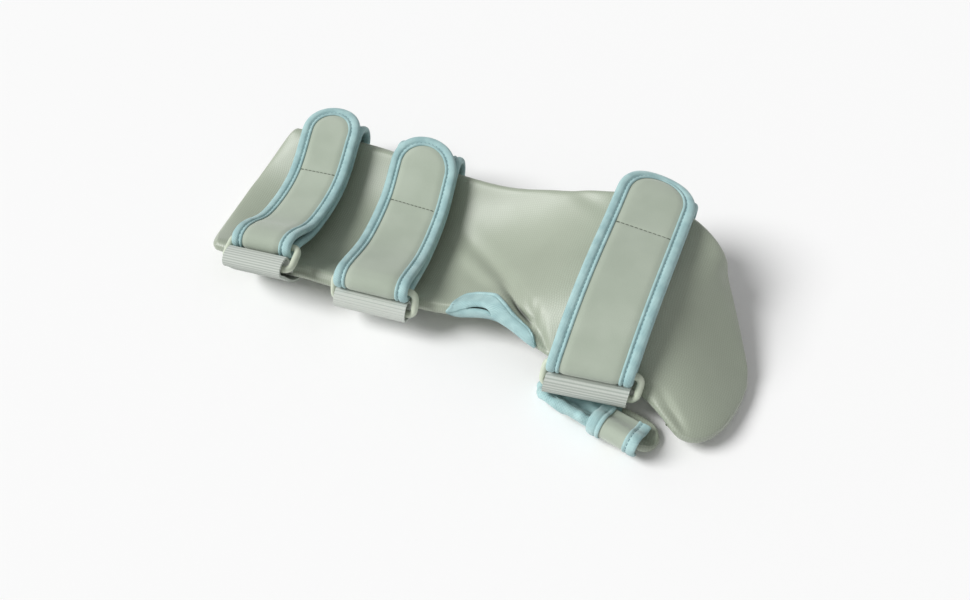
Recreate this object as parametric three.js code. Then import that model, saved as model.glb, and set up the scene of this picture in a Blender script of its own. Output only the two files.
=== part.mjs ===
// Resting hand splint for a left hand: a padded gutter that carries the forearm, palm and fingers,
// a thumb trough below the palm, and fold-back straps on plastic rings.
// Millimetres, +Z up, +X towards the fingertips, +Y towards the little finger, thumb on the -Y side.
// The origin lies on the flat underside of the forearm gutter, where the splint rests.
import * as THREE from "three";

// Driving dimensions
const CLEARANCE = 0.3; // between pieces that lie on each other
const PAD_THICKNESS = 9; // foam and cover of the main pad
const SEAT_LEVEL = 0; // the surface that the splint rests on flattens the pad here
const GUTTER_POWER = 2.3; // how late the side walls of a gutter turn up
const TROUGH_THICKNESS = 4;
const STRAP_THICKNESS = 2.6;
const TAPE_THICKNESS = 0.6; // edge binding
const TAPE_COVER = 8; // how far the binding reaches in over each face
const RING_BAR = 2.2; // radius of the bar of a ring
const RING_SPAN = 15; // between the middles of the two long bars of a ring
const RING_CORNER = 4;
const RING_SIDE_ROOM = 1.2; // beside the strap that runs through the ring
const WEBBING_THICKNESS = 1.6;
const WEBBING_LOOP = 4.6; // radius of the open loop round the ring's outer bar
const WEBBING_PLY_GAP = 0.4; // between the two plies of webbing below the loop
const RING_LEAD = 5; // straight run of a strap onto the ring's inner bar
const LAYERS_CLOSE = 45; // how far from the ring the two layers of a strap come together
const WIDTH_TURN = { ring: -60, far: 50 }; // between these places a strap's width turns

// Sections of the main pad from elbow to fingertips: place of the middle layer, reach of the pad to each
// side of it, and how far each edge lifts above it
const PAD_SECTIONS = [
  { name: "elbow end", x: -93.5, y: 1, z: 4, thumb: 53, little: 54, thumbLift: 20, littleLift: 24 },
  { name: "forearm", x: -20, y: 0, z: 4, thumb: 56, little: 57, thumbLift: 20, littleLift: 26 },
  { name: "lower forearm", x: 35, y: -1, z: 4.5, thumb: 54, little: 52, thumbLift: 18, littleLift: 26 },
  { name: "wrist", x: 76, y: -3, z: 12, thumb: 50, little: 50, thumbLift: 10, littleLift: 22 },
  { name: "heel of palm", x: 108, y: -5, z: 26, thumb: 47, little: 50, thumbLift: 3, littleLift: 18 },
  { name: "palm", x: 138, y: -7, z: 41, thumb: 55, little: 52, thumbLift: -17, littleLift: 13 },
  { name: "knuckles", x: 168, y: -11, z: 47, thumb: 56, little: 60, thumbLift: -29, littleLift: 5 },
  { name: "fingers", x: 206, y: -26.5, z: 32, thumb: 42, little: 57.5, thumbLift: -14, littleLift: 0 },
  { name: "fingertips", x: 252, y: -36, z: 4, thumb: 65, little: 24, thumbLift: 1, littleLift: 1 },
];
const PAD_OUTLINE = { startRound: 10, startFlare: 8, thumbRound: 34, littleRound: 70 };
const PAD_ROWS = { along: 34, across: 20 };

// Sections of the thumb trough from the palm to the thumb's tip, in the same columns
const TROUGH_SECTIONS = [
  { name: "palm end", x: 140, y: -66, z: 3.5, thumb: 11, little: 12, thumbLift: 6, littleLift: 14 },
  { name: "ball of thumb", x: 154, y: -70, z: 3.5, thumb: 14, little: 16, thumbLift: 10, littleLift: 16 },
  { name: "thumb joint", x: 174, y: -76, z: 3.5, thumb: 13, little: 11, thumbLift: 11, littleLift: 3 },
  { name: "thumb", x: 198, y: -81, z: 3.5, thumb: 13, little: 10, thumbLift: 10, littleLift: 2 },
  { name: "thumb tip", x: 212, y: -84, z: 3.5, thumb: 11, little: 8, thumbLift: 7, littleLift: 2 },
];
const TROUGH_OUTLINE = { startRound: 9, startFlare: 0, thumbRound: 9, littleRound: 9 };
const TROUGH_ROWS = { along: 16, across: 12 };
const TROUGH_TAPE = { cover: 6, stretch: 0.42 }; // how far in it reaches, and along how much of the edge

// Straps: where each one crosses the middle of the pad and its turn from the crosswise direction in degrees,
// how far its width swerves and rises for each millimetre along the pad at the ring and at the far rim, the
// ring's inner bar, the way that the lower layer reaches it and the way the ring hangs, in degrees from the
// far direction, and the bend of the free tail
const STRAPS = [
  {
    name: "forearm",
    place: { x: -42, turn: -1.5, ring: { swerve: 0.02, rise: 0.08 }, far: { swerve: 0.05, rise: 0.03 } },
    width: 38,
    bar: { across: -50, height: 36.4 },
    approach: 180,
    hang: 194,
    tail: { length: 21, bend: -34 },
    steps: { lower: 17, turn: 6, leave: 5 },
    lower: [
      { across: 49.9, height: 13.4 },
      { across: 57, height: 19.8 },
      { across: 62.2, height: 27 },
      { across: 61, height: 35 },
      { across: 54, height: 38.5 },
      { across: 45, height: 35 },
      { across: 35, height: 28 },
      { across: 22, height: 21.5 },
      { across: 8, height: 19 },
      { across: -8, height: 19.5 },
      { across: -25, height: 22.5 },
      { across: -39, height: 28.5 },
    ],
    webbing: [
      { across: -47.6, height: 9.5 },
      { across: -57.1, height: 16.4 },
    ],
  },
  {
    name: "wrist",
    place: { x: 28.4, turn: -4, ring: { swerve: 0.06, rise: 0 }, far: { swerve: -0.08, rise: 0.02 } },
    width: 44,
    bar: { across: -56, height: 34.6 },
    approach: 180,
    hang: 247,
    tail: { length: 18, bend: -27 },
    steps: { lower: 17, turn: 6, leave: 5 },
    lower: [
      { across: 48, height: 14 },
      { across: 55, height: 20.8 },
      { across: 58.2, height: 29 },
      { across: 56, height: 37 },
      { across: 49, height: 40 },
      { across: 41, height: 37 },
      { across: 31, height: 30.5 },
      { across: 19, height: 24.5 },
      { across: 6, height: 22 },
      { across: -8, height: 21.5 },
      { across: -24, height: 23 },
      { across: -40, height: 27 },
    ],
    webbing: [
      { across: -46.6, height: 8.6 },
      { across: -56, height: 14.2 },
    ],
  },
  {
    name: "hand",
    place: { x: 171, turn: 2.9, ring: { swerve: 0.13, rise: -0.03 }, far: { swerve: -0.1, rise: -0.12 } },
    width: 46,
    bar: { across: -69.5, height: 35.2 },
    approach: 225,
    hang: 245,
    tail: { length: 20, bend: -30 },
    steps: { lower: 17, turn: 6, leave: 4 },
    lower: [
      { across: 42.8, height: 42 },
      { across: 48.6, height: 43.4 },
      { across: 52.6, height: 47.6 },
      { across: 52.8, height: 53 },
      { across: 50, height: 57.6 },
      { across: 44, height: 59.6 },
      { across: 35, height: 59 },
      { across: 24, height: 57.6 },
      { across: 9, height: 56.4 },
      { across: -8, height: 55.8 },
      { across: -24, height: 54.2 },
      { across: -40, height: 50.2 },
      { across: -54, height: 43 },
    ],
    webbing: [
      { across: -66, height: 12.6 },
      { across: -70.2, height: 12.9 },
    ],
  },
];

// Thumb strap: an arch over the trough's open side, in the same columns as a strap's lower layer
const THUMB_STRAP = {
  place: { x: 211, turn: 14, ring: { swerve: -0.25, rise: 0 }, far: { swerve: -0.25, rise: 0 } },
  width: 28,
  steps: 16,
  arch: [
    { across: -93.6, height: 3 },
    { across: -97.4, height: 8 },
    { across: -98.6, height: 14 },
    { across: -96, height: 18 },
    { across: -90.6, height: 17 },
    { across: -86, height: 13 },
    { across: -82, height: 10.8 },
    { across: -78.6, height: 10.2 },
  ],
};

// Lips of the cover's mouth on the thumb-side rim of the wrist: how far along the pad, and the widest
// stretch of each lip measured round the rim from its outermost line, positive over the gutter's face
const MOUTH = { start: 172, end: 240, gap: 0.65, thickness: 1.1, fullness: 0.8, steps: 18 };
const UPPER_LIP = { low: 9.5, high: 18.5, lowEnd: 2.4, highEnd: 4.6 };
const LOWER_LIP = { low: -4.5, high: 7.6, lowEnd: -1.5, highEnd: 1.4 };

const KNIT = new THREE.MeshStandardMaterial({ color: 0xa9b5a0, roughness: 0.55, metalness: 0 });
const NEOPRENE = new THREE.MeshStandardMaterial({ color: 0xb3beac, roughness: 0.85, metalness: 0 });
const TAPE = new THREE.MeshStandardMaterial({ color: 0xa4c8ce, roughness: 0.8, metalness: 0 });
const PLASTIC = new THREE.MeshStandardMaterial({ color: 0xdbe3d0, roughness: 0.35, metalness: 0 });
const RIBBED = new THREE.MeshStandardMaterial({ color: 0xcdd2c9, roughness: 0.85, metalness: 0 });

const UP = new THREE.Vector3(0, 0, 1);
const radians = THREE.MathUtils.degToRad;

// A smooth line through one or more columns of a table, one row for each step of its parameter
function column(rows, ...keys) {
  const points = rows.map((row) => new THREE.Vector3(...[0, 1, 2].map((i) => row[keys[i]] ?? 0)));
  return new THREE.CatmullRomCurve3(points, false, "catmullrom", 0.5);
}

// A closed solid through a row of sections with the same number of points. Each section is an outer run of
// points followed by an inner run that comes back, so that its two ends can be capped.
function loft(sections, { ring = false } = {}) {
  const count = sections[0].length;
  const positions = sections.flat().flatMap((point) => point.toArray());
  const index = [];
  const quad = (a, b, c, d) => index.push(a, b, c, a, c, d);
  const last = sections.length - (ring ? 0 : 1);
  for (let i = 0; i < last; i++) {
    const here = i * count;
    const next = ((i + 1) % sections.length) * count;
    for (let k = 0; k < count; k++) {
      const other = (k + 1) % count;
      quad(here + k, here + other, next + other, next + k);
    }
  }
  if (!ring) {
    const end = (sections.length - 1) * count;
    for (let k = 0; k < count / 2 - 1; k++) {
      quad(count - 1 - k, count - 2 - k, k + 1, k);
      quad(end + k, end + k + 1, end + count - 2 - k, end + count - 1 - k);
    }
  }
  const geometry = new THREE.BufferGeometry();
  geometry.setAttribute("position", new THREE.Float32BufferAttribute(positions, 3));
  geometry.setIndex(signedVolume(positions, index) < 0 ? index.reverse() : index);
  return geometry;
}

function signedVolume(positions, index) {
  const corner = (i) => new THREE.Vector3().fromArray(positions, 3 * index[i]);
  let sum = 0;
  for (let i = 0; i < index.length; i += 3) sum += corner(i).dot(corner(i + 1).cross(corner(i + 2)));
  return sum;
}

// The middle layer of a padded shell: a point for a distance along it and a share of its reach to one side
class PadSurface {
  constructor(rows, outline) {
    this.spine = column(rows, "x", "y", "z");
    this.spine.arcLengthDivisions = 400;
    this.length = this.spine.getLength();
    this.reaches = column(rows, "thumb", "little");
    this.lifts = column(rows, "thumbLift", "littleLift");
    this.outline = outline;
  }

  parameter(along) {
    return this.spine.getUtoTmapping(THREE.MathUtils.clamp(along / this.length, 0, 1));
  }

  reach(along, share) {
    const reach = this.reaches.getPoint(this.parameter(along));
    return share < 0 ? reach.x : reach.y;
  }

  // share runs from -1 at the thumb-side edge to 1 at the little-finger edge
  point(along, share) {
    const t = this.parameter(along);
    const side = UP.clone().cross(this.spine.getTangent(t)).normalize();
    const lift = this.lifts.getPoint(t);
    const rise = Math.abs(share) ** GUTTER_POWER * (share < 0 ? lift.x : lift.y);
    return this.spine
      .getPoint(t)
      .addScaledVector(side, share * this.reach(along, share))
      .addScaledVector(UP, rise);
  }

  // Unit vectors at a point: along the pad, across it towards the little finger, and out of the gutter's face
  axes(along, share) {
    const step = 0.5;
    const nudge = share < 0 ? 0.01 : -0.01;
    const lengthwise = this.point(along + step, share).sub(this.point(along - step, share)).normalize();
    const crosswise = this.point(along, share + nudge).sub(this.point(along, share));
    if (nudge < 0) crosswise.negate();
    const normal = lengthwise.clone().cross(crosswise).normalize();
    return { lengthwise, crosswise: normal.clone().cross(lengthwise), normal };
  }

  // The stretch of the pad along one line of constant share, shortened where the outline's corners are round
  stretch(share) {
    const { startRound, startFlare, thumbRound, littleRound } = this.outline;
    const cut = 1 - Math.sqrt(1 - Math.min(1, share * share));
    const start = startRound * cut + startFlare * Math.abs(share) ** GUTTER_POWER;
    return [start, this.length - (share < 0 ? thumbRound : littleRound) * cut];
  }
}

// A closed padded shell: two faces that part from a common edge, round all the way along it
function padGeometry(surface, thickness, rows, floor = -Infinity) {
  const radius = thickness / 2;
  const edgeSteps = [0, 0.13, 0.5].map((k) => k * radius);
  const roundness = (distance) => Math.sqrt(1 - (1 - Math.min(1, distance / radius)) ** 2);
  const inner = rows.along - 2 * edgeSteps.length;
  const faces = [[], []];
  for (let j = 0; j <= rows.across; j++) {
    const share = Math.sin(((2 * j) / rows.across - 1) * (Math.PI / 2));
    const [start, end] = surface.stretch(share);
    const stride = (end - start - thickness) / inner;
    const places = [
      ...edgeSteps.map((d) => start + d),
      ...Array.from({ length: inner + 1 }, (_, i) => start + radius + stride * i),
      ...edgeSteps.toReversed().map((d) => end - d),
    ];
    for (const along of places) {
      const middle = surface.point(along, share);
      const { normal } = surface.axes(along, share);
      const sideways = (1 - Math.abs(share)) * surface.reach(along, share);
      const half = radius * roundness(sideways) * roundness(Math.min(along - start, end - along));
      faces[0].push(middle.clone().addScaledVector(normal, half));
      faces[1].push(middle.clone().addScaledVector(normal, -half));
    }
  }
  const count = rows.along + 1;
  const index = [];
  faces.forEach((face, side) => {
    const base = side * face.length;
    for (let j = 0; j < rows.across; j++) {
      for (let i = 0; i < count - 1; i++) {
        const a = base + j * count + i;
        const quad = [a, a + 1, a + count + 1, a + count];
        if (side) quad.reverse();
        index.push(quad[0], quad[1], quad[2], quad[0], quad[2], quad[3]);
      }
    }
  });
  const positions = faces.flat().flatMap((point) => [point.x, point.y, Math.max(point.z, floor)]);
  const geometry = new THREE.BufferGeometry();
  geometry.setAttribute("position", new THREE.Float32BufferAttribute(positions, 3));
  geometry.setIndex(index);
  return geometry;
}

// A place on the skin of a pad's thumb-side rim, a distance round it from its outermost line, and lifted off
function rimPoint(surface, along, round, thickness, lift) {
  const radius = thickness / 2;
  const quarter = (radius * Math.PI) / 2;
  const angle = THREE.MathUtils.clamp(round / radius, -Math.PI / 2, Math.PI / 2);
  const inward = radius * (1 - Math.cos(angle)) + Math.max(0, Math.abs(round) - quarter);
  const share = inward / surface.reach(along, -1) - 1;
  const { crosswise, normal } = surface.axes(along, share);
  return surface
    .point(along, share)
    .addScaledVector(crosswise, -Math.cos(angle) * lift)
    .addScaledVector(normal, Math.sin(angle) * (radius + lift));
}

// A thin lip laid on the rim, widest in its middle and narrow at both ends
function lipGeometry(surface, lip) {
  const sections = [];
  for (let i = 0; i <= MOUTH.steps; i++) {
    const share = i / MOUTH.steps;
    const swell = Math.sin(Math.PI * share) ** MOUTH.fullness;
    const along = THREE.MathUtils.lerp(MOUTH.start, MOUTH.end, share);
    const low = THREE.MathUtils.lerp(lip.lowEnd, lip.low, swell);
    const high = THREE.MathUtils.lerp(lip.highEnd, lip.high, swell);
    const rounds = [0, 0.25, 0.5, 0.75, 1].map((k) => THREE.MathUtils.lerp(low, high, k));
    const skin = (lift) => rounds.map((round) => rimPoint(surface, along, round, PAD_THICKNESS, lift));
    sections.push([...skin(MOUTH.gap + MOUTH.thickness), ...skin(MOUTH.gap).reverse()]);
  }
  return loft(sections);
}

// A flat band that follows a line drawn in an upright plane, its width level or leaning by a slope
class Band {
  constructor(place, points) {
    this.place = place;
    this.points = points;
    this.distances = [0];
    for (let i = 1; i < points.length; i++) {
      this.distances.push(this.distances[i - 1] + points[i].distanceTo(points[i - 1]));
    }
    this.length = this.distances.at(-1);
  }

  locate(across, height) {
    const turn = radians(this.place.turn);
    return new THREE.Vector3(this.place.x + across * Math.sin(turn), across * Math.cos(turn), height);
  }

  // The direction of the band's width, which changes from the ring to the far rim
  width(across) {
    const { ring, far } = this.place;
    const share = THREE.MathUtils.clamp(
      THREE.MathUtils.inverseLerp(WIDTH_TURN.ring, WIDTH_TURN.far, across), 0, 1);
    const swerve = THREE.MathUtils.lerp(ring.swerve, far.swerve, share);
    return new THREE.Vector3(1, swerve, THREE.MathUtils.lerp(ring.rise, far.rise, share)).normalize();
  }

  // A point given by its distance along the band, its distance from the middle line and its height off it
  map(along, sideways, off) {
    const last = this.points.length - 2;
    const i = THREE.MathUtils.clamp(this.distances.findLastIndex((d) => d <= along), 0, last);
    const share = (along - this.distances[i]) / (this.distances[i + 1] - this.distances[i]);
    const spot = this.points[i].clone().lerp(this.points[i + 1], share);
    const normal = this.normal(i).lerp(this.normal(i + 1), THREE.MathUtils.clamp(share, 0, 1)).normalize();
    const up = this.locate(normal.x, normal.y).sub(this.locate(0, 0));
    return this.locate(spot.x, spot.y).addScaledVector(this.width(spot.x), sideways).addScaledVector(up, off);
  }

  // The normal at a point of the line, on the upper side of a line that runs towards the thumb
  normal(i) {
    const before = this.points[Math.max(i - 1, 0)];
    const here = this.points[i];
    const after = this.points[Math.min(i + 1, this.points.length - 1)];
    const ways = [here.clone().sub(before), after.clone().sub(here)].filter((way) => way.lengthSq() > 0);
    const sum = ways.reduce((total, way) => total.add(way.normalize()), new THREE.Vector2());
    return new THREE.Vector2(sum.y, -sum.x).normalize();
  }
}

function linePoints(rows) {
  return rows.map(({ across, height }) => new THREE.Vector2(across, height));
}

function smoothLine(points, steps) {
  return new THREE.SplineCurve(points).getSpacedPoints(steps);
}

const TAPE_SIDE = STRAP_THICKNESS / 2 + CLEARANCE + TAPE_THICKNESS; // from the band's middle to the outside
const FOLD_RADIUS = RING_BAR + CLEARANCE + TAPE_SIDE;
const LAYER_PITCH = 2 * TAPE_SIDE + CLEARANCE;

// The line of a fold-back strap: from its sewn end up over the far rim, across to the ring, round the
// ring's inner bar and back on top of itself to the free tail
function strapLine({ lower, bar, approach, tail, steps }) {
  const way = new THREE.Vector2(Math.cos(radians(approach)), Math.sin(radians(approach)));
  const above = new THREE.Vector2(way.y, -way.x);
  const middle = new THREE.Vector2(bar.across, bar.height);
  const onArc = (angle) =>
    middle
      .clone()
      .addScaledVector(above, -FOLD_RADIUS * Math.cos(angle))
      .addScaledVector(way, FOLD_RADIUS * Math.sin(angle));
  const lead = onArc(0).addScaledVector(way, -RING_LEAD);
  const under = smoothLine([...linePoints(lower), lead, onArc(0)], steps.lower);
  const fold = Array.from({ length: steps.turn - 1 }, (_, k) => onArc(((k + 1) * Math.PI) / steps.turn));
  const probe = new Band({ x: 0, turn: 0 }, under);
  const over = [];
  for (let i = steps.lower; i >= steps.leave; i--) {
    const open = Math.max(0, 1 - (probe.length - probe.distances[i]) / LAYERS_CLOSE);
    const pitch = LAYER_PITCH + (2 * FOLD_RADIUS - LAYER_PITCH) * open * open;
    over.push(under[i].clone().addScaledVector(probe.normal(i), pitch));
  }
  const tailSteps = 6;
  const stride = tail.length / tailSteps;
  let heading = over.at(-1).clone().sub(over.at(-2)).angle();
  for (let k = 0; k < tailSteps; k++) {
    heading += radians(tail.bend) / tailSteps;
    const step = new THREE.Vector2(Math.cos(heading), Math.sin(heading)).multiplyScalar(stride);
    over.push(over.at(-1).clone().add(step));
  }
  return [...under, ...fold, ...over];
}

// A band's own layer, with its tail rounded to half a circle when it has a free end
function bandGeometry(band, width, roundTail) {
  const half = width / 2;
  const straight = band.distances.filter((d) => !roundTail || d < band.length - half - 1);
  const rows = straight.map((along) => ({ along, half }));
  if (roundTail) {
    for (const angle of [0, 22, 42, 60, 74, 84].map(radians)) {
      rows.push({ along: band.length - half + half * Math.sin(angle), half: half * Math.cos(angle) });
    }
  }
  const off = STRAP_THICKNESS / 2;
  return loft(
    rows.map((row) => [
      band.map(row.along, -row.half, off),
      band.map(row.along, row.half, off),
      band.map(row.along, row.half, -off),
      band.map(row.along, -row.half, -off),
    ]),
  );
}

// The section of a tape folded over an edge: how far in from the edge and how far off the middle layer
function tapeProfile(thickness, cover, parts = 1) {
  const run = (off, edge) => {
    const depths = Array.from({ length: parts }, (_, k) => [cover * (1 - k / parts), off]);
    const fold = -CLEARANCE - edge;
    return [...depths, [fold, off], [fold, -off], ...depths.map(([depth]) => [depth, -off]).reverse()];
  };
  const inside = thickness / 2 + CLEARANCE;
  return [...run(inside + TAPE_THICKNESS, TAPE_THICKNESS), ...run(inside, 0).reverse()];
}

// Binding folded over a band's edge; each row of its path gives a place on the edge and the angle at which
// the path has turned round the tail
function bindingGeometry(band, path) {
  const profile = tapeProfile(STRAP_THICKNESS, TAPE_COVER);
  return loft(
    path.map(({ along, sideways, angle }) =>
      profile.map(([inward, off]) =>
        band.map(along - inward * Math.sin(angle), sideways - inward * Math.cos(angle), off),
      ),
    ),
  );
}

function tailPath(band, width) {
  const half = width / 2;
  const edge = band.distances.filter((d) => d < band.length - half - 1);
  const arc = Array.from({ length: 13 }, (_, k) => (k * Math.PI) / 12);
  return [
    ...edge.map((along) => ({ along, sideways: half, angle: 0 })),
    ...arc.map((angle) => ({
      along: band.length - half + half * Math.sin(angle),
      sideways: half * Math.cos(angle),
      angle,
    })),
    ...edge.toReversed().map((along) => ({ along, sideways: -half, angle: Math.PI })),
  ];
}

// A rounded rectangle of plastic bar, hung by its inner long bar
function ringGeometry(band, { bar, hang, width }) {
  const down = new THREE.Vector2(Math.cos(radians(hang)), Math.sin(radians(hang)));
  const side = band.width(bar.across);
  const top = band.locate(bar.across, bar.height);
  const fall = band.locate(bar.across + down.x, bar.height + down.y).sub(top);
  const middle = top.clone().addScaledVector(fall, RING_SPAN / 2);
  const halfWide = width / 2 + CLEARANCE + TAPE_THICKNESS + RING_SIDE_ROOM + RING_BAR;
  const corners = [
    [1, 1, 0],
    [-1, 1, 90],
    [-1, -1, 180],
    [1, -1, 270],
  ];
  const sections = [];
  const face = side.clone().cross(fall).normalize();
  for (const [right, low, turn] of corners) {
    for (let k = 0; k < 5; k++) {
      const angle = radians(turn + (k * 90) / 4);
      const outward = side.clone().multiplyScalar(Math.cos(angle)).addScaledVector(fall, Math.sin(angle));
      const centre = middle
        .clone()
        .addScaledVector(side, right * (halfWide - RING_CORNER))
        .addScaledVector(fall, low * (RING_SPAN / 2 - RING_CORNER))
        .addScaledVector(outward, RING_CORNER);
      sections.push(
        Array.from({ length: 6 }, (_, m) =>
          centre
            .clone()
            .addScaledVector(outward, RING_BAR * Math.cos((m * Math.PI) / 3))
            .addScaledVector(face, RING_BAR * Math.sin((m * Math.PI) / 3)),
        ),
      );
    }
  }
  return loft(sections, { ring: true });
}

// Webbing sewn below the near wall, up round the ring's outer bar in an open loop and back onto itself
function webbingGeometry({ place, bar, hang, webbing, width }) {
  const down = new THREE.Vector2(Math.cos(radians(hang)), Math.sin(radians(hang)));
  const middle = new THREE.Vector2(bar.across, bar.height).addScaledVector(down, RING_SPAN);
  const inner = linePoints(webbing);
  const away = inner.at(-1).clone().sub(middle).angle();
  const loop = [70, 110, 150, 190, 230, 270, 300].map((turn) => {
    const angle = away + radians(turn);
    const spoke = new THREE.Vector2(Math.cos(angle), Math.sin(angle));
    return middle.clone().addScaledVector(spoke, WEBBING_LOOP);
  });
  const run = inner.at(-1).clone().sub(inner[0]).normalize();
  const outward = new THREE.Vector2(-run.y, run.x);
  const pitch = WEBBING_THICKNESS + WEBBING_PLY_GAP;
  const outer = inner.map((point) => point.clone().addScaledVector(outward, pitch)).reverse();
  const band = new Band(place, smoothLine([...inner, ...loop, ...outer], 22));
  const half = width / 2;
  const off = WEBBING_THICKNESS / 2;
  return loft(
    band.distances.map((along) => [
      band.map(along, -half, off),
      band.map(along, half, off),
      band.map(along, half, -off),
      band.map(along, -half, -off),
    ]),
  );
}

// Binding round the outline of the trough, from the middle of its palm end along the thumb-side edge
function troughBindingGeometry(surface) {
  const profile = tapeProfile(TROUGH_THICKNESS, TROUGH_TAPE.cover, 2);
  const flat = (along, share) => new THREE.Vector2(along, share * surface.reach(along, share));
  const path = [-0.35, -0.6, -0.8, -0.92, -0.985].map((share) => [surface.stretch(share)[0], share]);
  const [start, end] = surface.stretch(-1);
  const steps = 8;
  for (let k = 0; k <= steps; k++) path.push([start + ((end - start) * TROUGH_TAPE.stretch * k) / steps, -1]);
  return loft(
    path.map(([along, share], i) => {
      const before = path[Math.max(i - 1, 0)];
      const after = path[Math.min(i + 1, path.length - 1)];
      const way = flat(...after).sub(flat(...before)).normalize();
      return profile.map(([depth, off]) => {
        const inAlong = along - way.y * depth;
        const inShare = share + (way.x * depth) / surface.reach(along, share);
        return surface.point(inAlong, inShare).addScaledVector(surface.axes(inAlong, inShare).normal, off);
      });
    }),
  );
}

const splint = new THREE.Group();

function add(name, geometry, material) {
  const mesh = new THREE.Mesh(geometry, material);
  mesh.name = name;
  splint.add(mesh);
}

const pad = new PadSurface(PAD_SECTIONS, PAD_OUTLINE);
add("splint_pad", padGeometry(pad, PAD_THICKNESS, PAD_ROWS, SEAT_LEVEL), KNIT);
add("cover_mouth_upper_lip", lipGeometry(pad, UPPER_LIP), TAPE);
add("cover_mouth_lower_lip", lipGeometry(pad, LOWER_LIP), TAPE);

for (const strap of STRAPS) {
  const band = new Band(strap.place, strapLine(strap));
  add(`${strap.name}_strap`, bandGeometry(band, strap.width, true), NEOPRENE);
  add(`${strap.name}_strap_binding`, bindingGeometry(band, tailPath(band, strap.width)), TAPE);
  add(`${strap.name}_ring`, ringGeometry(band, strap), PLASTIC);
  add(`${strap.name}_webbing`, webbingGeometry(strap), RIBBED);
}

const trough = new PadSurface(TROUGH_SECTIONS, TROUGH_OUTLINE);
add("thumb_trough", padGeometry(trough, TROUGH_THICKNESS, TROUGH_ROWS), KNIT);
add("thumb_trough_binding", troughBindingGeometry(trough), TAPE);

const thumbBand = new Band(THUMB_STRAP.place, smoothLine(linePoints(THUMB_STRAP.arch), THUMB_STRAP.steps));
add("thumb_strap", bandGeometry(thumbBand, THUMB_STRAP.width, false), NEOPRENE);
for (const [side, sign] of [["palm", -1], ["tip", 1]]) {
  const path = thumbBand.distances.map((along) => ({
    along,
    sideways: (sign * THUMB_STRAP.width) / 2,
    angle: sign > 0 ? 0 : Math.PI,
  }));
  add(`thumb_strap_${side}_binding`, bindingGeometry(thumbBand, path), TAPE);
}

export default splint;
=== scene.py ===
"""Looks of a resting hand splint: padded knit cover, bound straps, plastic rings and ribbed webbing.

Everything is in metres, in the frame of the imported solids: +X towards the fingertips, +Y towards the little
finger with the thumb on the other side, and +Z up out of the open gutter.
"""

import logging
import math
from collections.abc import Callable, Iterable
from dataclasses import dataclass, field
from enum import Enum
from typing import TypeAlias

import bmesh
import bpy
import numpy as np
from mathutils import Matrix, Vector, noise
from mathutils.bvhtree import BVHTree


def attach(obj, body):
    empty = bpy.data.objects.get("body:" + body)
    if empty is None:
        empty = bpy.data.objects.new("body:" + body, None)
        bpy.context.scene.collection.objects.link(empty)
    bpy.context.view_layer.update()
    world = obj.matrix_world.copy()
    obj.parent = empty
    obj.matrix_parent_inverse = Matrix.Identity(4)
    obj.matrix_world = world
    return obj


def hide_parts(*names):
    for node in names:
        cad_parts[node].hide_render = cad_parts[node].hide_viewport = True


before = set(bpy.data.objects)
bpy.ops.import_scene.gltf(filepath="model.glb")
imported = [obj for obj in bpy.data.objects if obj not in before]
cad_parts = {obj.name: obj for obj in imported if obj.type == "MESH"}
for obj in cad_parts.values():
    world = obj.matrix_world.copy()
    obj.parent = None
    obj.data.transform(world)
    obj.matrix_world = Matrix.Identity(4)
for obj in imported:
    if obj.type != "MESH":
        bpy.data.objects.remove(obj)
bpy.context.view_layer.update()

LOG = logging.getLogger("splint")
MM = 0.001
BODY = "root"
WELD = 0.01 * MM
# the pad's attribute of painted shade inside its deepest folds
FOLD = "fold_shade"

Colour = tuple[float, float, float, float]
Number: TypeAlias = "Value | float"
Height = Callable[[np.ndarray], np.ndarray]
Place = Callable[[np.ndarray, np.ndarray], np.ndarray]
Edges = Callable[[np.ndarray], tuple[np.ndarray, np.ndarray]]


class Slot(Enum):
    """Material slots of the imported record."""

    KNIT = "knit_cover"
    STRAP = "neoprene_strap"
    TAPE = "edge_tape"
    PLASTIC = "ring_plastic"
    WEBBING = "ribbed_webbing"


class Face(Enum):
    """The two faces of a band, as the sign of the distance off its middle layer."""

    UPPER = 1
    LOWER = -1


def srgb(red: int, green: int, blue: int) -> Colour:
    """Turn an eight-bit display colour into the linear colour that shaders use.

    Args:
        red: Red from 0 to 255.
        green: Green from 0 to 255.
        blue: Blue from 0 to 255.

    Returns:
        The linear colour with full alpha.
    """
    shares = [channel / 255 for channel in (red, green, blue)]
    linear = [share / 12.92 if share <= 0.04045 else ((share + 0.055) / 1.055) ** 2.4 for share in shares]
    return (*linear, 1.0)


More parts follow.
